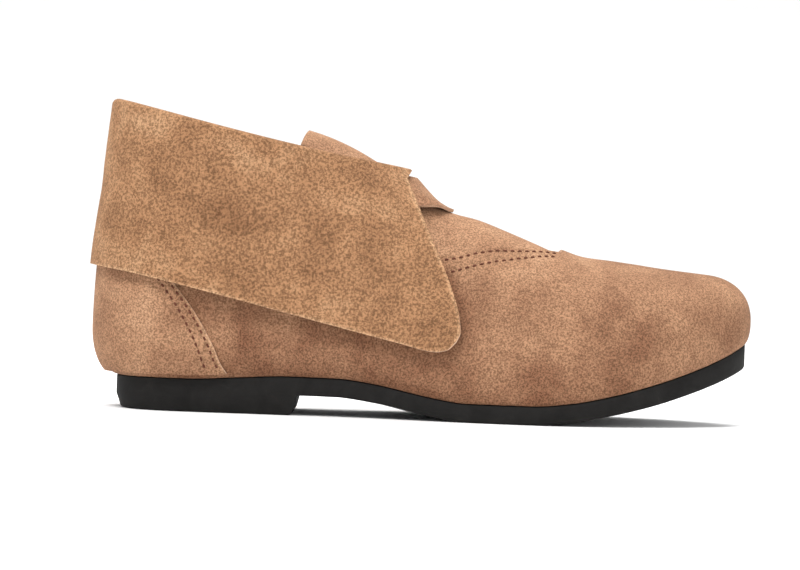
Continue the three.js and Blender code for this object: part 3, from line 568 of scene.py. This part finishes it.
# Meshes
def mesh_object(name, points, faces, materials, indices=None, sharp=None, shade=None):
    """A smooth mesh from points in millimetres of the last, in the row frame."""
    data = bpy.data.meshes.new(name)
    data.from_pydata(((np.asarray(points) - ORIGIN) / 1000).tolist(), [], faces)
    data.validate()
    for material in materials:
        data.materials.append(material)
    if indices is not None:
        data.polygons.foreach_set("material_index", indices)
    data.shade_smooth()
    if sharp:
        for edge in data.edges:
            if tuple(sorted(edge.vertices)) in sharp:
                edge.use_edge_sharp = True
    layer = data.attributes.new("shade", "FLOAT", "POINT")
    values = np.zeros(len(data.vertices)) if shade is None else shade
    layer.data.foreach_set("value", np.asarray(values, np.float32))
    data.update()
    made = bpy.data.objects.new(name, data)
    bpy.context.scene.collection.objects.link(made)
    return made


def placed(made, nodes):
    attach(made, "root")
    if nodes:
        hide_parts(*nodes)


def wall(name, patches, materials, tones):
    """A closed wall from patches (faces, backs, turned) that grow together where they share points.
    materials are those of the face, the back and the cut edge; tones gives the shade at points."""
    faces = np.concatenate([f.reshape(-1, 3) for f, _, _ in patches])
    backs = np.concatenate([b.reshape(-1, 3) for _, b, _ in patches])
    _, first, index = np.unique(np.round(faces, 3) + 0.0, axis=0, return_index=True, return_inverse=True)
    index = index.ravel()
    faces, backs = faces[first], backs[first]
    count = len(faces)
    quads, start = [], 0
    for f, _, turned in patches:
        n, m = f.shape[:2]
        grid = index[start:start + n * m].reshape(n, m)
        start += n * m
        corners = [grid[:-1, :-1], grid[1:, :-1], grid[1:, 1:], grid[:-1, 1:]]
        if turned:
            corners.reverse()
        quads.append(np.stack([c.ravel() for c in corners], -1))
    quads = np.concatenate(quads)
    polygons = []
    for quad in quads.tolist():
        ring = [a for a, b in zip(quad, quad[1:] + quad[:1]) if a != b]
        if len(ring) > 2:
            polygons.append(ring)
    runs = set()
    for ring in polygons:
        runs.update(zip(ring, ring[1:] + ring[:1]))
    free = [(a, b) for a, b in runs if (b, a) not in runs]
    front = polygons
    back = [[p + count for p in reversed(ring)] for ring in polygons]
    rims = [[b, a, a + count, b + count] for a, b in free]
    sharp = {tuple(sorted(edge)) for edge in free}
    sharp |= {(a + count, b + count) for a, b in sharp}
    indices = [0] * len(front) + [1] * len(back) + [2] * len(rims)
    points = np.concatenate([faces, backs])
    return mesh_object(name, points, front + back + rims, materials, indices, sharp, tones(points))


def steps(*spans):
    """Places from span to span, each (start, end, count)."""
    runs = [np.linspace(a, b, n + 1)[(0 if i == 0 else 1):] for i, (a, b, n) in enumerate(spans)]
    return np.concatenate(runs)


# Patches of lighter and darker nap, a few of them painted shade: x and z in the side view, reach along and
# across, tone, slant in degrees
PATCHES_UPPER = [
    # painted shade: darker along the bottom of the upper, towards the sole
    (150, 2, 400, 24, -0.19, 0),
    # darker quarter behind the counter: partly its own darker tone, partly painted shade under the cuff
    (90, 30, 60, 26, -0.12, 0),
    (270, 42, 22, 30, -0.07, 0),
    (150, 60, 30, 20, -0.05, 0),
    # painted shadow: a thin dark strip on the vamp beside the cuff's front edge
    (150.5, 62, 24, 3.2, -0.14, -67),
    (215, 46, 26, 9, -0.10, 35),
    (232, 33, 14, 16, -0.10, 0),
    (187, 22, 12, 8, -0.07, 20),
    (168, 70, 30, 7, 0.05, -15),
    (205, 60, 20, 5, 0.05, -10),
    (262, 50, 16, 14, 0.04, 0),
    (246, 26, 18, 6, 0.06, 25),
    (120, 38, 36, 9, -0.04, -10),
    (100, 26, 26, 4, 0.04, 0),
]
PATCHES_CUFF = [
    (100, 70, 70, 50, -0.06, 0),
    (34, 100, 16, 12, -0.08, 0),
    (50, 78, 26, 12, -0.06, -20),
    (82, 104, 30, 10, 0.04, -15),
    (140, 60, 10, 26, -0.05, 20),
    (16, 122, 14, 8, 0.09, 0),
    (10, 70, 14, 6, 0.06, 0),
    (90, 96, 60, 6, 0.05, -15),
]
PATCHES_COUNTER = [
    (22, 42, 8, 16, 0.10, 20),
    (36, 30, 7, 14, 0.08, 20),
    (28, 24, 14, 5, -0.06, 0),
    (14, 62, 16, 6, -0.05, 0),
]


# A paler band along the cut edges of the counter and the cuff: partly the pale cut edge, partly painted
# highlight where the edge catches light
EDGE_PALE_AND_HIGHLIGHT = 0.22
EDGE_BAND = 0.9


def toned(patches, whole=0.0):
    """The shade at points, from the tone of the whole piece and its patches."""
    def tones(points):
        total = np.full(len(points), whole)
        for x, z, wide, high, tone, slant in patches:
            a = math.radians(slant)
            dx, dz = points[:, 0] - x, points[:, 2] - z
            across = (dx * math.cos(a) + dz * math.sin(a)) / wide
            up = (-dx * math.sin(a) + dz * math.cos(a)) / high
            total += tone * np.exp(-(across**2 + up**2))
        return total
    return tones


# Stitch rows: how far behind the counter's front edge, and how far below the edge of the throat
COUNTER_FACE = SEAM_GAP + COUNTER_THICKNESS
COUNTER_ROWS = {
    "z": [18.6, 70],
    "front": [2.2, 1.2],
    "back": [7.4, 4.6],
}
THROAT_ROWS = {
    "x": [140, 150, 157, 164, 173, 180, 187, 194, 199.3],
    "upper": [1.9, 1.8, 1.4, 1.4, 1.3, 1.2, 1.1, 1.1, 1.1],
    "lower": [8.6, 7.4, 6.5, 6.5, 5.6, 4.5, 3.5, 2.7, 2.2],
}
ROW_DEPTH = 0.25
ROW_WIDTH = 0.9
ROW_FADE = 4
ROW_PLACES = 24
STITCH_PITCH = 3.2
STITCH_LENGTH = 2.0
STITCH_WIDTH = 0.9
STITCH_HEIGHT = 0.5


def counter_edge(z):
    return LENGTH * along(COUNTER_FRONT, "forward", z / COUNTER_TOP)


def counter_row(row, z):
    """How far a row of stitches lies behind the counter's front edge."""
    return np.interp(z, COUNTER_ROWS["z"], COUNTER_ROWS[row])


def throat_row(row, x):
    """The height of a row of stitches along the throat."""
    return throat_line(x) - np.interp(x, THROAT_ROWS["x"], THROAT_ROWS[row])


def grooved(distances):
    """The shallow groove that a row of stitches draws into the leather, at distances from the row."""
    return -ROW_DEPTH * np.exp(-((distances / ROW_WIDTH) ** 2))


# Soft troughs pressed into the leather: two ends in the side view, half width, depth
CREASE_RUN_OUT = 0.3
CREASE_FADE = 0.5
CREASES = [
    ((226, 66), (214, 44), 5, -0.35),
    ((214, 66), (200, 40), 6, -0.30),
    ((196, 60), (184, 30), 7, -0.25),
    ((160, 44), (176, 22), 6, -0.25),
    ((242, 52), (236, 30), 6, -0.25),
]


def pressed(points, creases):
    total = np.zeros(points.shape[:-1])
    for (x0, z0), (x1, z1), wide, depth in creases:
        run = np.array([x1 - x0, z1 - z0], float)
        length = np.hypot(*run)
        run /= length
        dx, dz = points[..., 0] - x0, points[..., 2] - z0
        t = (dx * run[0] + dz * run[1]) / length
        off = np.abs(-dx * run[1] + dz * run[0])
        ends = smooth((t + CREASE_RUN_OUT) / CREASE_FADE) * smooth((1 + CREASE_RUN_OUT - t) / CREASE_FADE)
        total += depth * np.exp(-((off / wide) ** 2)) * ends
    return total


def stitch_line(side, places, offset):
    """Points on a layer over the last at even places along given points (x, z) of the side view."""
    places = np.array(places, float)
    run = np.concatenate([[0], np.cumsum(np.hypot(*np.diff(places, axis=0).T))])
    dense = np.linspace(0, run[-1], 80)
    x, z = np.interp(dense, run, places[:, 0]), np.interp(dense, run, places[:, 1])
    u, v = locate(side, x, z, offset)
    return off_last(side, u, v, offset), last_normal(side, u, v)


def stitches(name, lines):
    """Stitches lying along lines of (points, normals), each a small rounded bead sunk at its ends."""
    points, faces = [], []
    stations = np.linspace(-1, 1, 7)
    turns = np.linspace(0, 2 * np.pi, 8, endpoint=False)
    for line, normals in lines:
        run = np.concatenate([[0], np.cumsum(np.linalg.norm(np.diff(line, axis=0), axis=1))])
        for centre in np.arange(STITCH_PITCH / 2, run[-1] - STITCH_PITCH / 2, STITCH_PITCH):
            at = np.stack([np.interp(centre, run, line[:, k]) for k in range(3)])
            ahead = np.stack([np.interp(centre + 0.5, run, line[:, k]) for k in range(3)])
            normal = unit(np.stack([np.interp(centre, run, normals[:, k]) for k in range(3)]))
            forward = unit(ahead - at)
            across = np.cross(normal, forward)
            start = len(points)
            for s in stations:
                r = math.sqrt(max(0.02, 1 - s**4))
                lift = STITCH_HEIGHT * (0.55 - 0.75 * s * s)
                middle = at + forward * (s * STITCH_LENGTH / 2) + normal * lift
                for turn in turns:
                    points.append(middle + across * (math.cos(turn) * r * STITCH_WIDTH / 2)
                                  + normal * (math.sin(turn) * r * STITCH_HEIGHT / 2))
            n = len(turns)
            for i in range(len(stations) - 1):
                for j in range(n):
                    k = (j + 1) % n
                    faces.append([start + i * n + j, start + i * n + k, start + (i + 1) * n + k,
                                  start + (i + 1) * n + j])
            faces.append([start + j for j in reversed(range(n))])
            faces.append([start + (len(stations) - 1) * n + j for j in range(n)])
    made = mesh_object(name, points, faces, [THREAD])
    placed(made, [])


# Upper
def upper():
    ribs = steps((0, HEEL_SHARE, 34), (HEEL_SHARE, SHAFT_RIB, 44),
                 (SHAFT_RIB, THROAT_END, 64), (THROAT_END, 1, 64))
    patches = []
    for side in (LATERAL, MEDIAL):
        top = np.where(ribs < THROAT_END - SMALL, upper_edge(side, ribs), 1.0)
        rows = np.concatenate([np.tile(np.linspace(-1, 0, 17), (len(ribs), 1)),
                               top[:, None] * np.linspace(0, 1, 61)[None, 1:]], 1)
        u = np.repeat(ribs[:, None], rows.shape[1], 1)
        face = last(side, u, rows)
        x, z = face[..., 0], face[..., 2]
        seamed = smooth((x - THROAT_ROWS["x"][0]) / ROW_FADE) * smooth((THROAT_ROWS["x"][-1] - x) / ROW_FADE)
        relief = pressed(face, CREASES)
        for row in ("upper", "lower"):
            relief = relief + seamed * grooved(z - throat_row(row, x))
        outer, inner = off_last(side, u, rows, relief), off_last(side, u, rows, -UPPER_WALL)
        patches.append((outer, inner, side == MEDIAL))
    made = wall("upper_leather", patches, [SMOOTH_SUEDE, LINING, CUT_EDGE], toned(PATCHES_UPPER, -0.045))
    placed(made, ["upper"])


# Heel counter, thinned along its front edge
SKIVE_DEPTH = 0.35
SKIVE_WIDTH = 0.8


def counter_front(side, v):
    def short(u):
        point = off_last(side, u, v, COUNTER_FACE)
        return point[..., 0] - counter_edge(point[..., 2])
    return crossing(short, np.zeros_like(v), 0.5)


def heel_counter():
    heel_top = float(crossing(lambda v: last(LATERAL, 0 * v, v)[..., 2] - COUNTER_TOP, 0.0, 1))
    rows = steps((-2 / 3, 0, 14), (0, heel_top, 34))
    patches = []
    for side in (LATERAL, MEDIAL):
        ends = counter_front(side, rows)
        shares = np.linspace(0, 1, 66)
        u = shares[:, None] * ends[None, :]
        v = np.tile(rows, (len(shares), 1))
        place = off_last(side, u, v, COUNTER_FACE)
        behind = counter_edge(place[..., 2]) - place[..., 0]
        outer = COUNTER_FACE - SKIVE_DEPTH * smooth(1 - behind / SKIVE_WIDTH)
        for row in ("front", "back"):
            outer = outer + grooved(behind - counter_row(row, place[..., 2]))
        patches.append((off_last(side, u, v, outer), off_last(side, u, v, SEAM_GAP), side == MEDIAL))

    def tones(points):
        behind = counter_edge(points[:, 2]) - points[:, 0]
        # paler band behind the front edge: partly the pale cut edge, partly painted highlight
        return toned(PATCHES_COUNTER, -0.07)(points) + EDGE_PALE_AND_HIGHLIGHT * np.exp(-((behind / EDGE_BAND) ** 2))

    made = wall("counter_leather", patches, [SMOOTH_SUEDE, LINING, CUT_EDGE], tones)
    placed(made, ["heel_counter"])


# Cuff, its face lumpy: height, size and seed of each set of lumps
LUMPS = [(0.12, 17, 0.7), (0.08, 7, 1.9)]


def cuff_standoff(forward, down):
    back, side, front = (along(CUFF_STANDOFF, column, down) for column in ("back", "side", "front"))
    to_side = mix(back, side, smooth(2 * forward))
    return CUFF_CLEARANCE * mix(to_side, front, smooth(2 * forward - 1))


def hem_line(x):
    return mix(HEM_FRONT, HEM_BACK, along(CUFF_HEM, "rise", x / CUFF_REACH))


def collar_point(side, u):
    return last(side, u, collar_place(side, u))


def ripple(points, size, seed):
    """Small smooth lumps, between -1 and 1, from sines set at fixed slants."""
    total = np.zeros(points.shape[:-1])
    for k in range(6):
        angle = seed + k * 2.4
        way = np.array([math.cos(angle), 0.4 * math.sin(3 * angle), math.sin(angle)])
        total += np.sin(points @ way * (2 * np.pi / (size * (1 + 0.23 * k))) + 1.7 * k * seed)
    return total / 6


def cuff():
    rows = np.concatenate([np.linspace(0, 0.2, 24)[1:], np.linspace(0.2, 1, 76)[1:]])
    shares = steps((0, 0.34, 44), (0.34, 0.78, 56), (0.78, 1, 56))
    patches = []
    for side in (LATERAL, MEDIAL):
        fold_rib = float(crossing(lambda u: CUFF_PARTING / 2 - np.abs(collar_point(side, u)[..., 1]),
                                  np.array([SHAFT_RIB]), THROAT_END)[0])
        fold = collar_point(side, np.array([fold_rib]))[0]
        fold_place = float(collar_place(side, np.array([fold_rib]))[0])
        front_x = fold[0] + CUFF_FLARE * along(CUFF_FRONT, "forward", rows)
        front_z = fold[2] - CUFF_DROP * rows
        front_u, front_v = locate(side, front_x, front_z, cuff_standoff(1.0, rows) + CUFF_THICKNESS)
        u_corner, v_corner = front_u[-1], front_v[-1]
        top = collar_place(side, shares * fold_rib)

        def short(v):
            point = off_last(side, shares * u_corner, v, cuff_standoff(shares, 1.0) + CUFF_THICKNESS)
            return point[..., 2] - hem_line(point[..., 0])

        hem = crossing(short, np.full_like(shares, -1.0), 1)
        front_share = (front_v - fold_place) / (v_corner - fold_place)
        s = shares[:, None]
        v = mix(top[:, None], hem[:, None], mix(rows[None, :], front_share[None, :], s**2))
        u = s * front_u[None, :]
        standoff = cuff_standoff(s, rows[None, :])
        face = off_last(side, u, v, standoff + CUFF_THICKNESS)
        lumps = sum(high * ripple(face, size, seed) for high, size, seed in LUMPS)
        fall_face = off_last(side, u, v, standoff + CUFF_THICKNESS + lumps)
        fall_back = off_last(side, u, v, standoff)
        fold_face, fold_back = fold_section(side, shares, fold_rib)
        patches.append((np.concatenate([fold_face, fall_face], 1), np.concatenate([fold_back, fall_back], 1),
                        side == LATERAL))

    def tones(points):
        down = (fold[2] - points[:, 2]) / CUFF_DROP
        from_front = fold[0] + CUFF_FLARE * along(CUFF_FRONT, "forward", down) - points[:, 0]
        from_hem = points[:, 2] - hem_line(points[:, 0])
        from_edge = np.minimum(np.abs(from_front), np.abs(from_hem))
        # paler band along the front edge and the hem: partly the pale cut edge, partly painted highlight
        return toned(PATCHES_CUFF)(points) + EDGE_PALE_AND_HIGHLIGHT * np.exp(-((from_edge / EDGE_BAND) ** 2))

    made = wall("cuff_leather", patches, [ROUGH_SUEDE, SMOOTH_SUEDE, CUT_EDGE], tones)
    placed(made, ["cuff"])


def fold_section(side, shares, fold_rib):
    """Half a turn over the collar, from the middle of the wall's edge to the top of the fall."""
    u = shares * fold_rib
    v = collar_place(side, u)
    normal = last_normal(side, u, v)
    ahead = np.minimum(fold_rib, u + SMALL)
    run = collar_point(side, ahead) - collar_point(side, np.maximum(0, ahead - 2 * SMALL))
    run[shares == 0] = (0, side, 0)
    rise = unit(np.cross(run, normal))
    rise *= np.where(rise[:, 2:] < 0, -1, 1)
    outer = cuff_standoff(shares, 0.0) + CUFF_THICKNESS / 2
    inner = -UPPER_WALL / 2
    radius = ((outer - inner) / 2)[:, None, None]
    centre = off_last(side, u, v, (outer + inner) / 2) + rise * FOLD_GAP
    turn = np.linspace(0, np.pi, 13)[None, :, None]
    arm = rise[:, None] * np.sin(turn) - normal[:, None] * np.cos(turn)
    return (centre[:, None] + arm * (radius + CUFF_THICKNESS / 2),
            centre[:, None] + arm * (radius - CUFF_THICKNESS / 2))


# Front flap
def front_flap():
    def top_line(x):
        return collar_line(x) - FLAP_TUCK

    def bottom_line(x):
        forward = (x / LENGTH - FLAP_BACK_STATION) / (FLAP_FRONT_STATION - FLAP_BACK_STATION)
        return FLAP_EDGE + FLAP_CLIMB * forward

    ridge_end = float(crossing(lambda u: over_ridge(u, bottom_line), SHAFT_RIB, THROAT_END))
    brow = float(crossing(lambda u: over_ridge(u, top_line), SHAFT_RIB, THROAT_END))
    back = float(rib_at(LENGTH * FLAP_BACK_STATION))
    ribs = steps((back, brow, 40), (brow, ridge_end, 30))
    sunk = SEAM_GAP - UPPER_WALL - FLAP_DEPTH
    patches = []
    for side in (LATERAL, MEDIAL):
        bottom = reach(side, ribs, bottom_line)
        top = np.where(ribs < brow - SMALL, reach(side, ribs, top_line), 1.0)
        v = mix(bottom[:, None], top[:, None], np.linspace(0, 1, 25)[None, :])
        u = np.repeat(ribs[:, None], v.shape[1], 1)
        place = last(side, u, v)
        deep = smooth(1 - (np.abs(place[..., 1]) - FLAP_SUNK) / FLAP_RISE)
        deep = deep * smooth((INSTEP_HEIGHT - place[..., 2]) / FLAP_FALL)
        inner = mix(SEAM_GAP, sunk, deep)
        outer = inner + FLAP_THICKNESS
        patches.append((off_last(side, u, v, outer), off_last(side, u, v, inner), side == MEDIAL))
    made = wall("flap_leather", patches, [SMOOTH_SUEDE, LINING, CUT_EDGE], toned([], -0.04))
    placed(made, ["front_flap"])


# Tongue
def tongue():
    depth = -UPPER_WALL - SEAM_GAP - TONGUE_EASE
    front = LENGTH * TONGUE_FRONT_STATION
    free = LENGTH * TONGUE_FREE_STATION
    sinking = LENGTH * TONGUE_DIP_STATION
    across = np.linspace(1, -1, 57)
    xs = np.linspace(front, free, 70)
    u = crossing(lambda r: rib_top(LATERAL, r)[0] - xs, np.full_like(xs, SHAFT_RIB), 1)
    dip = TONGUE_DIP * smooth((sinking - xs) / (sinking - free))
    nose = TONGUE_NOSE * smooth((xs - free) / (front - free)) + TONGUE_TUCK
    seated = np.zeros((len(xs), len(across), 3))
    for side in (LATERAL, MEDIAL):
        columns = np.flatnonzero(across < 0) if side == LATERAL else np.flatnonzero(across >= 0)
        share = np.abs(across[columns])[None, :]
        top_y = rib_top(side, u)[1]

        def sideways(v):
            ribs = u if v.ndim == 1 else np.broadcast_to(u[:, None], v.shape)
            middle = top_y if v.ndim == 1 else top_y[:, None]
            return np.abs(last(side, ribs, v)[..., 1] - middle)

        opened = np.where(u < THROAT_END, upper_edge(side, u), 1.0)
        wanted = share * (sideways(opened) + nose)[:, None]
        v = crossing(lambda w: wanted - sideways(w), np.zeros_like(wanted), 1)
        v = np.where(share == 0, 1.0, v)
        ribs = np.broadcast_to(u[:, None], v.shape)
        seated[:, columns] = off_last(side, ribs, v, depth - dip[:, None] * (1 - share**2))
    root = seated[-1]
    middle = (len(across) - 1) // 2
    tip = np.array([TONGUE_TIP_X, 0, TONGUE_TIP_HEIGHT])
    shares = np.linspace(0, 1, 56)[1:]
    edges = []
    for end in (root[0], root[-1]):
        side = int(np.sign(end[1]))
        table = {
            "at": [0] + TONGUE_EDGE["at"],
            "x": [end[0] / LENGTH] + TONGUE_EDGE["x"],
            "height": [end[2] / INSTEP_HEIGHT] + TONGUE_EDGE["height"],
            "half": [1] + TONGUE_EDGE["half"],
        }
        x, z = LENGTH * along(table, "x", shares), INSTEP_HEIGHT * along(table, "height", shares)
        edge = off_last(side, *locate(side, x, z, depth), depth)
        edge[:, 1] *= along(table, "half", shares)
        edges.append((end, edge))
    loose = np.zeros((len(shares), len(across), 3))
    centre = mix(root[middle], tip, shares[:, None])
    centre[:, 2] += 4 * TONGUE_BOW * shares * (1 - shares)
    for j, point in enumerate(root):
        end, edge = edges[0 if j < middle else 1]
        part = (point - root[middle]) / (end - root[middle])
        loose[:, j] = mix(centre, edge, part)
    grid = np.concatenate([seated, loose])
    run = np.gradient(grid, axis=0)
    climb = np.gradient(grid, axis=1)
    back = grid - unit(np.cross(run, climb)) * TONGUE_THICKNESS
    made = wall("tongue_leather", [(grid, back, False)], [SMOOTH_SUEDE, LINING, CUT_EDGE], toned([], 0.02))
    placed(made, ["tongue"])


# Sole and insole
def sole_ribs(end, count):
    return steps((0, HEEL_SHARE, 30), (HEEL_SHARE, end, count))


def ring(ribs, margin, height):
    """A ring round the last's lower edge: its outer side, then its inner side, each from the heel on."""
    sides = []
    for side in (LATERAL, MEDIAL):
        x, y = feather_edge(side, ribs, margin)
        sides.append(np.stack([x, y, height(x)], -1))
    return sides


def ring_solid(name, rings, material, nodes):
    """A solid lofted through rings from bottom to top, its ends closed by strips from side to side."""
    points, loops = [], []
    for lateral, medial in rings:
        closed = np.linalg.norm(lateral[-1] - medial[-1]) < SMALL
        back = medial[1:-1] if closed else medial[1:]
        loops.append((len(points), len(lateral), len(lateral) + len(back), closed))
        points.extend(lateral)
        points.extend(back[::-1])
    faces = []
    for (a, _, total, _), (b, _, _, _) in zip(loops, loops[1:]):
        for i in range(total):
            j = (i + 1) % total
            faces.append([a + i, a + j, b + j, b + i])
    for k, upward in ((0, False), (-1, True)):
        start, count, total, closed = loops[k]
        for i in range(count - 1):
            far = [start + (q if q == 0 or (closed and q == count - 1) else total - q) for q in (i + 1, i)]
            quad = [start + i, start + i + 1, *far]
            quad = [p for p, q in zip(quad, quad[1:] + quad[:1]) if p != q]
            faces.append(quad if upward else quad[::-1])
    made = mesh_object(name, points, faces, [material])
    made.data.set_sharp_from_angle(angle=math.radians(35))
    placed(made, nodes)


# How far the heel's top keeps inside the sole's side and runs up into the sole
HEEL_INSET = 0.02
HEEL_SUNK = 2

# The sole's rings from its tread up: share of the bevel, height, and share of the sole's depth
SOLE_RINGS = [
    (1, 0, 0),
    (0.6, 0.1 * SOLE_BEVEL, 0),
    (0.3, 0.3 * SOLE_BEVEL, 0),
    (0.1, 0.6 * SOLE_BEVEL, 0),
    (0, SOLE_BEVEL, 0),
    (0, 0, 0.5),
    (0, -0.4, 1),
    (0.1, -0.1, 1),
    (0.3, 0, 1),
]


def outsole():
    ribs = sole_ribs(1, 130)

    def bevelled(amount, height, top):
        sides = []
        for side in (LATERAL, MEDIAL):
            bevel = amount * SOLE_BEVEL * smooth((rib_x(ribs) - HEEL_BREAST) / SOLE_THICKNESS)
            x, y = feather_edge(side, ribs, SOLE_MARGIN - bevel)
            sides.append(np.stack([x, y, underside(x) + height + top * sole_depth(x)], -1))
        return sides

    rings = [bevelled(*row) for row in SOLE_RINGS]
    ring_solid("sole_rubber", rings, BLACK_RUBBER, ["outsole"])

    def heel_ring(inset, lean, height):
        end = float(rib_at(HEEL_BREAST - lean))
        return ring(sole_ribs(end, 24), SOLE_MARGIN - inset, height)

    turns = np.linspace(0, HALF_PI, 6)
    rounds = [(HEEL_EDGE * (1 - math.sin(t)), HEEL_EDGE * (1 - math.cos(t))) for t in turns]
    rings = [heel_ring(HEEL_TAPER + i, HEEL_RAKE + i, lambda x, h=h: h + 0 * x) for i, h in rounds]
    rings.append(heel_ring(HEEL_INSET, 0, underside))
    rings.append(heel_ring(HEEL_INSET, 0, lambda x: underside(x) + HEEL_SUNK))
    ring_solid("heel_rubber", rings, BLACK_RUBBER, [])


def insole():
    ribs = sole_ribs(1, 130)

    def level(inset, height):
        return ring(ribs, -INSOLE_EASE - inset, lambda x: sole_top(x) + SEAM_GAP + height)

    t = INSOLE_THICKNESS
    rings = [level(0, 0), level(0, t * 0.5), level(t * 0.15, t * 0.85), level(t * 0.5, t)]
    ring_solid("footbed", rings, LINING, ["insole"])


def seams():
    """Double rows along the counter's front edge and along the throat, on both sides."""
    lines = []
    for side in (LATERAL, MEDIAL):
        z = np.linspace(*COUNTER_ROWS["z"], ROW_PLACES)
        for row in ("front", "back"):
            x = counter_edge(z) - counter_row(row, z)
            lines.append(stitch_line(side, np.stack([x, z], -1), COUNTER_FACE - ROW_DEPTH))
        x = np.linspace(THROAT_ROWS["x"][0], THROAT_ROWS["x"][-1], ROW_PLACES)
        for row in ("upper", "lower"):
            lines.append(stitch_line(side, np.stack([x, throat_row(row, x)], -1), -ROW_DEPTH))
    stitches("seam_stitches", lines)


upper()
heel_counter()
cuff()
front_flap()
tongue()
outsole()
insole()
seams()


# Floor and light, in metres
FLOOR_SIDE = 6
FLOOR_NEAR = -3
FLOOR_TOP = 6
SWEEP_START = 2
SWEEP_RADIUS = 2
LIGHT_AIM = (0.09, 0, 0.05)
LIGHTS = {
    "key_light": {"spot": (-0.5, -1.25, 2.05), "size": 1.0, "power": 42},
    "fill_light": {"spot": (1.5, -1.5, 1.0), "size": 1.4, "power": 8},
    "top_light": {"spot": (0.2, 0.5, 2.2), "size": 1.6, "power": 40},
}
SKY = 0.6


def make_floor():
    """A pale floor that sweeps up far behind the shoe."""
    flat = np.linspace(-1, SWEEP_START, 7)
    turn = np.linspace(0.1, HALF_PI, 16)
    sweep = SWEEP_START + SWEEP_RADIUS * np.sin(turn)
    depth = np.concatenate([[FLOOR_NEAR], flat, sweep, [SWEEP_START + SWEEP_RADIUS]])
    height = np.concatenate([[0], 0 * flat, SWEEP_RADIUS * (1 - np.cos(turn)), [FLOOR_TOP]])
    points, faces = [], []
    for y, z in zip(depth, height):
        points += [(-FLOOR_SIDE, y, z), (FLOOR_SIDE, y, z)]
    for i in range(len(depth) - 1):
        faces.append([2 * i, 2 * i + 1, 2 * i + 3, 2 * i + 2])
    data = bpy.data.meshes.new("floor")
    data.from_pydata(points, [], faces)
    data.shade_smooth()
    floor = bpy.data.objects.new("floor", data)
    bpy.context.scene.collection.objects.link(floor)
    material, _, principled, _ = shader("floor", 0.9)
    principled.inputs["Base Color"].default_value = (0.97, 0.97, 0.97, 1)
    data.materials.append(material)


def make_light(name, spot, size, power):
    data = bpy.data.lights.new(name, "AREA")
    data.shape = "DISK"
    data.size = size
    data.energy = power
    lamp = bpy.data.objects.new(name, data)
    bpy.context.scene.collection.objects.link(lamp)
    lamp.location = spot
    lamp.rotation_mode = "QUATERNION"
    lamp.rotation_quaternion = (Vector(LIGHT_AIM) - Vector(spot)).to_track_quat("-Z", "Y")


make_floor()
for light_name, light in LIGHTS.items():
    make_light(light_name, **light)
world = bpy.data.worlds.new("studio")
world.use_nodes = True
world.node_tree.nodes["Background"].inputs["Color"].default_value = (1, 1, 1, 1)
world.node_tree.nodes["Background"].inputs["Strength"].default_value = SKY
bpy.context.scene.world = world
bpy.context.scene.view_settings.view_transform = "Standard"
bpy.context.scene.view_settings.exposure = 0.2
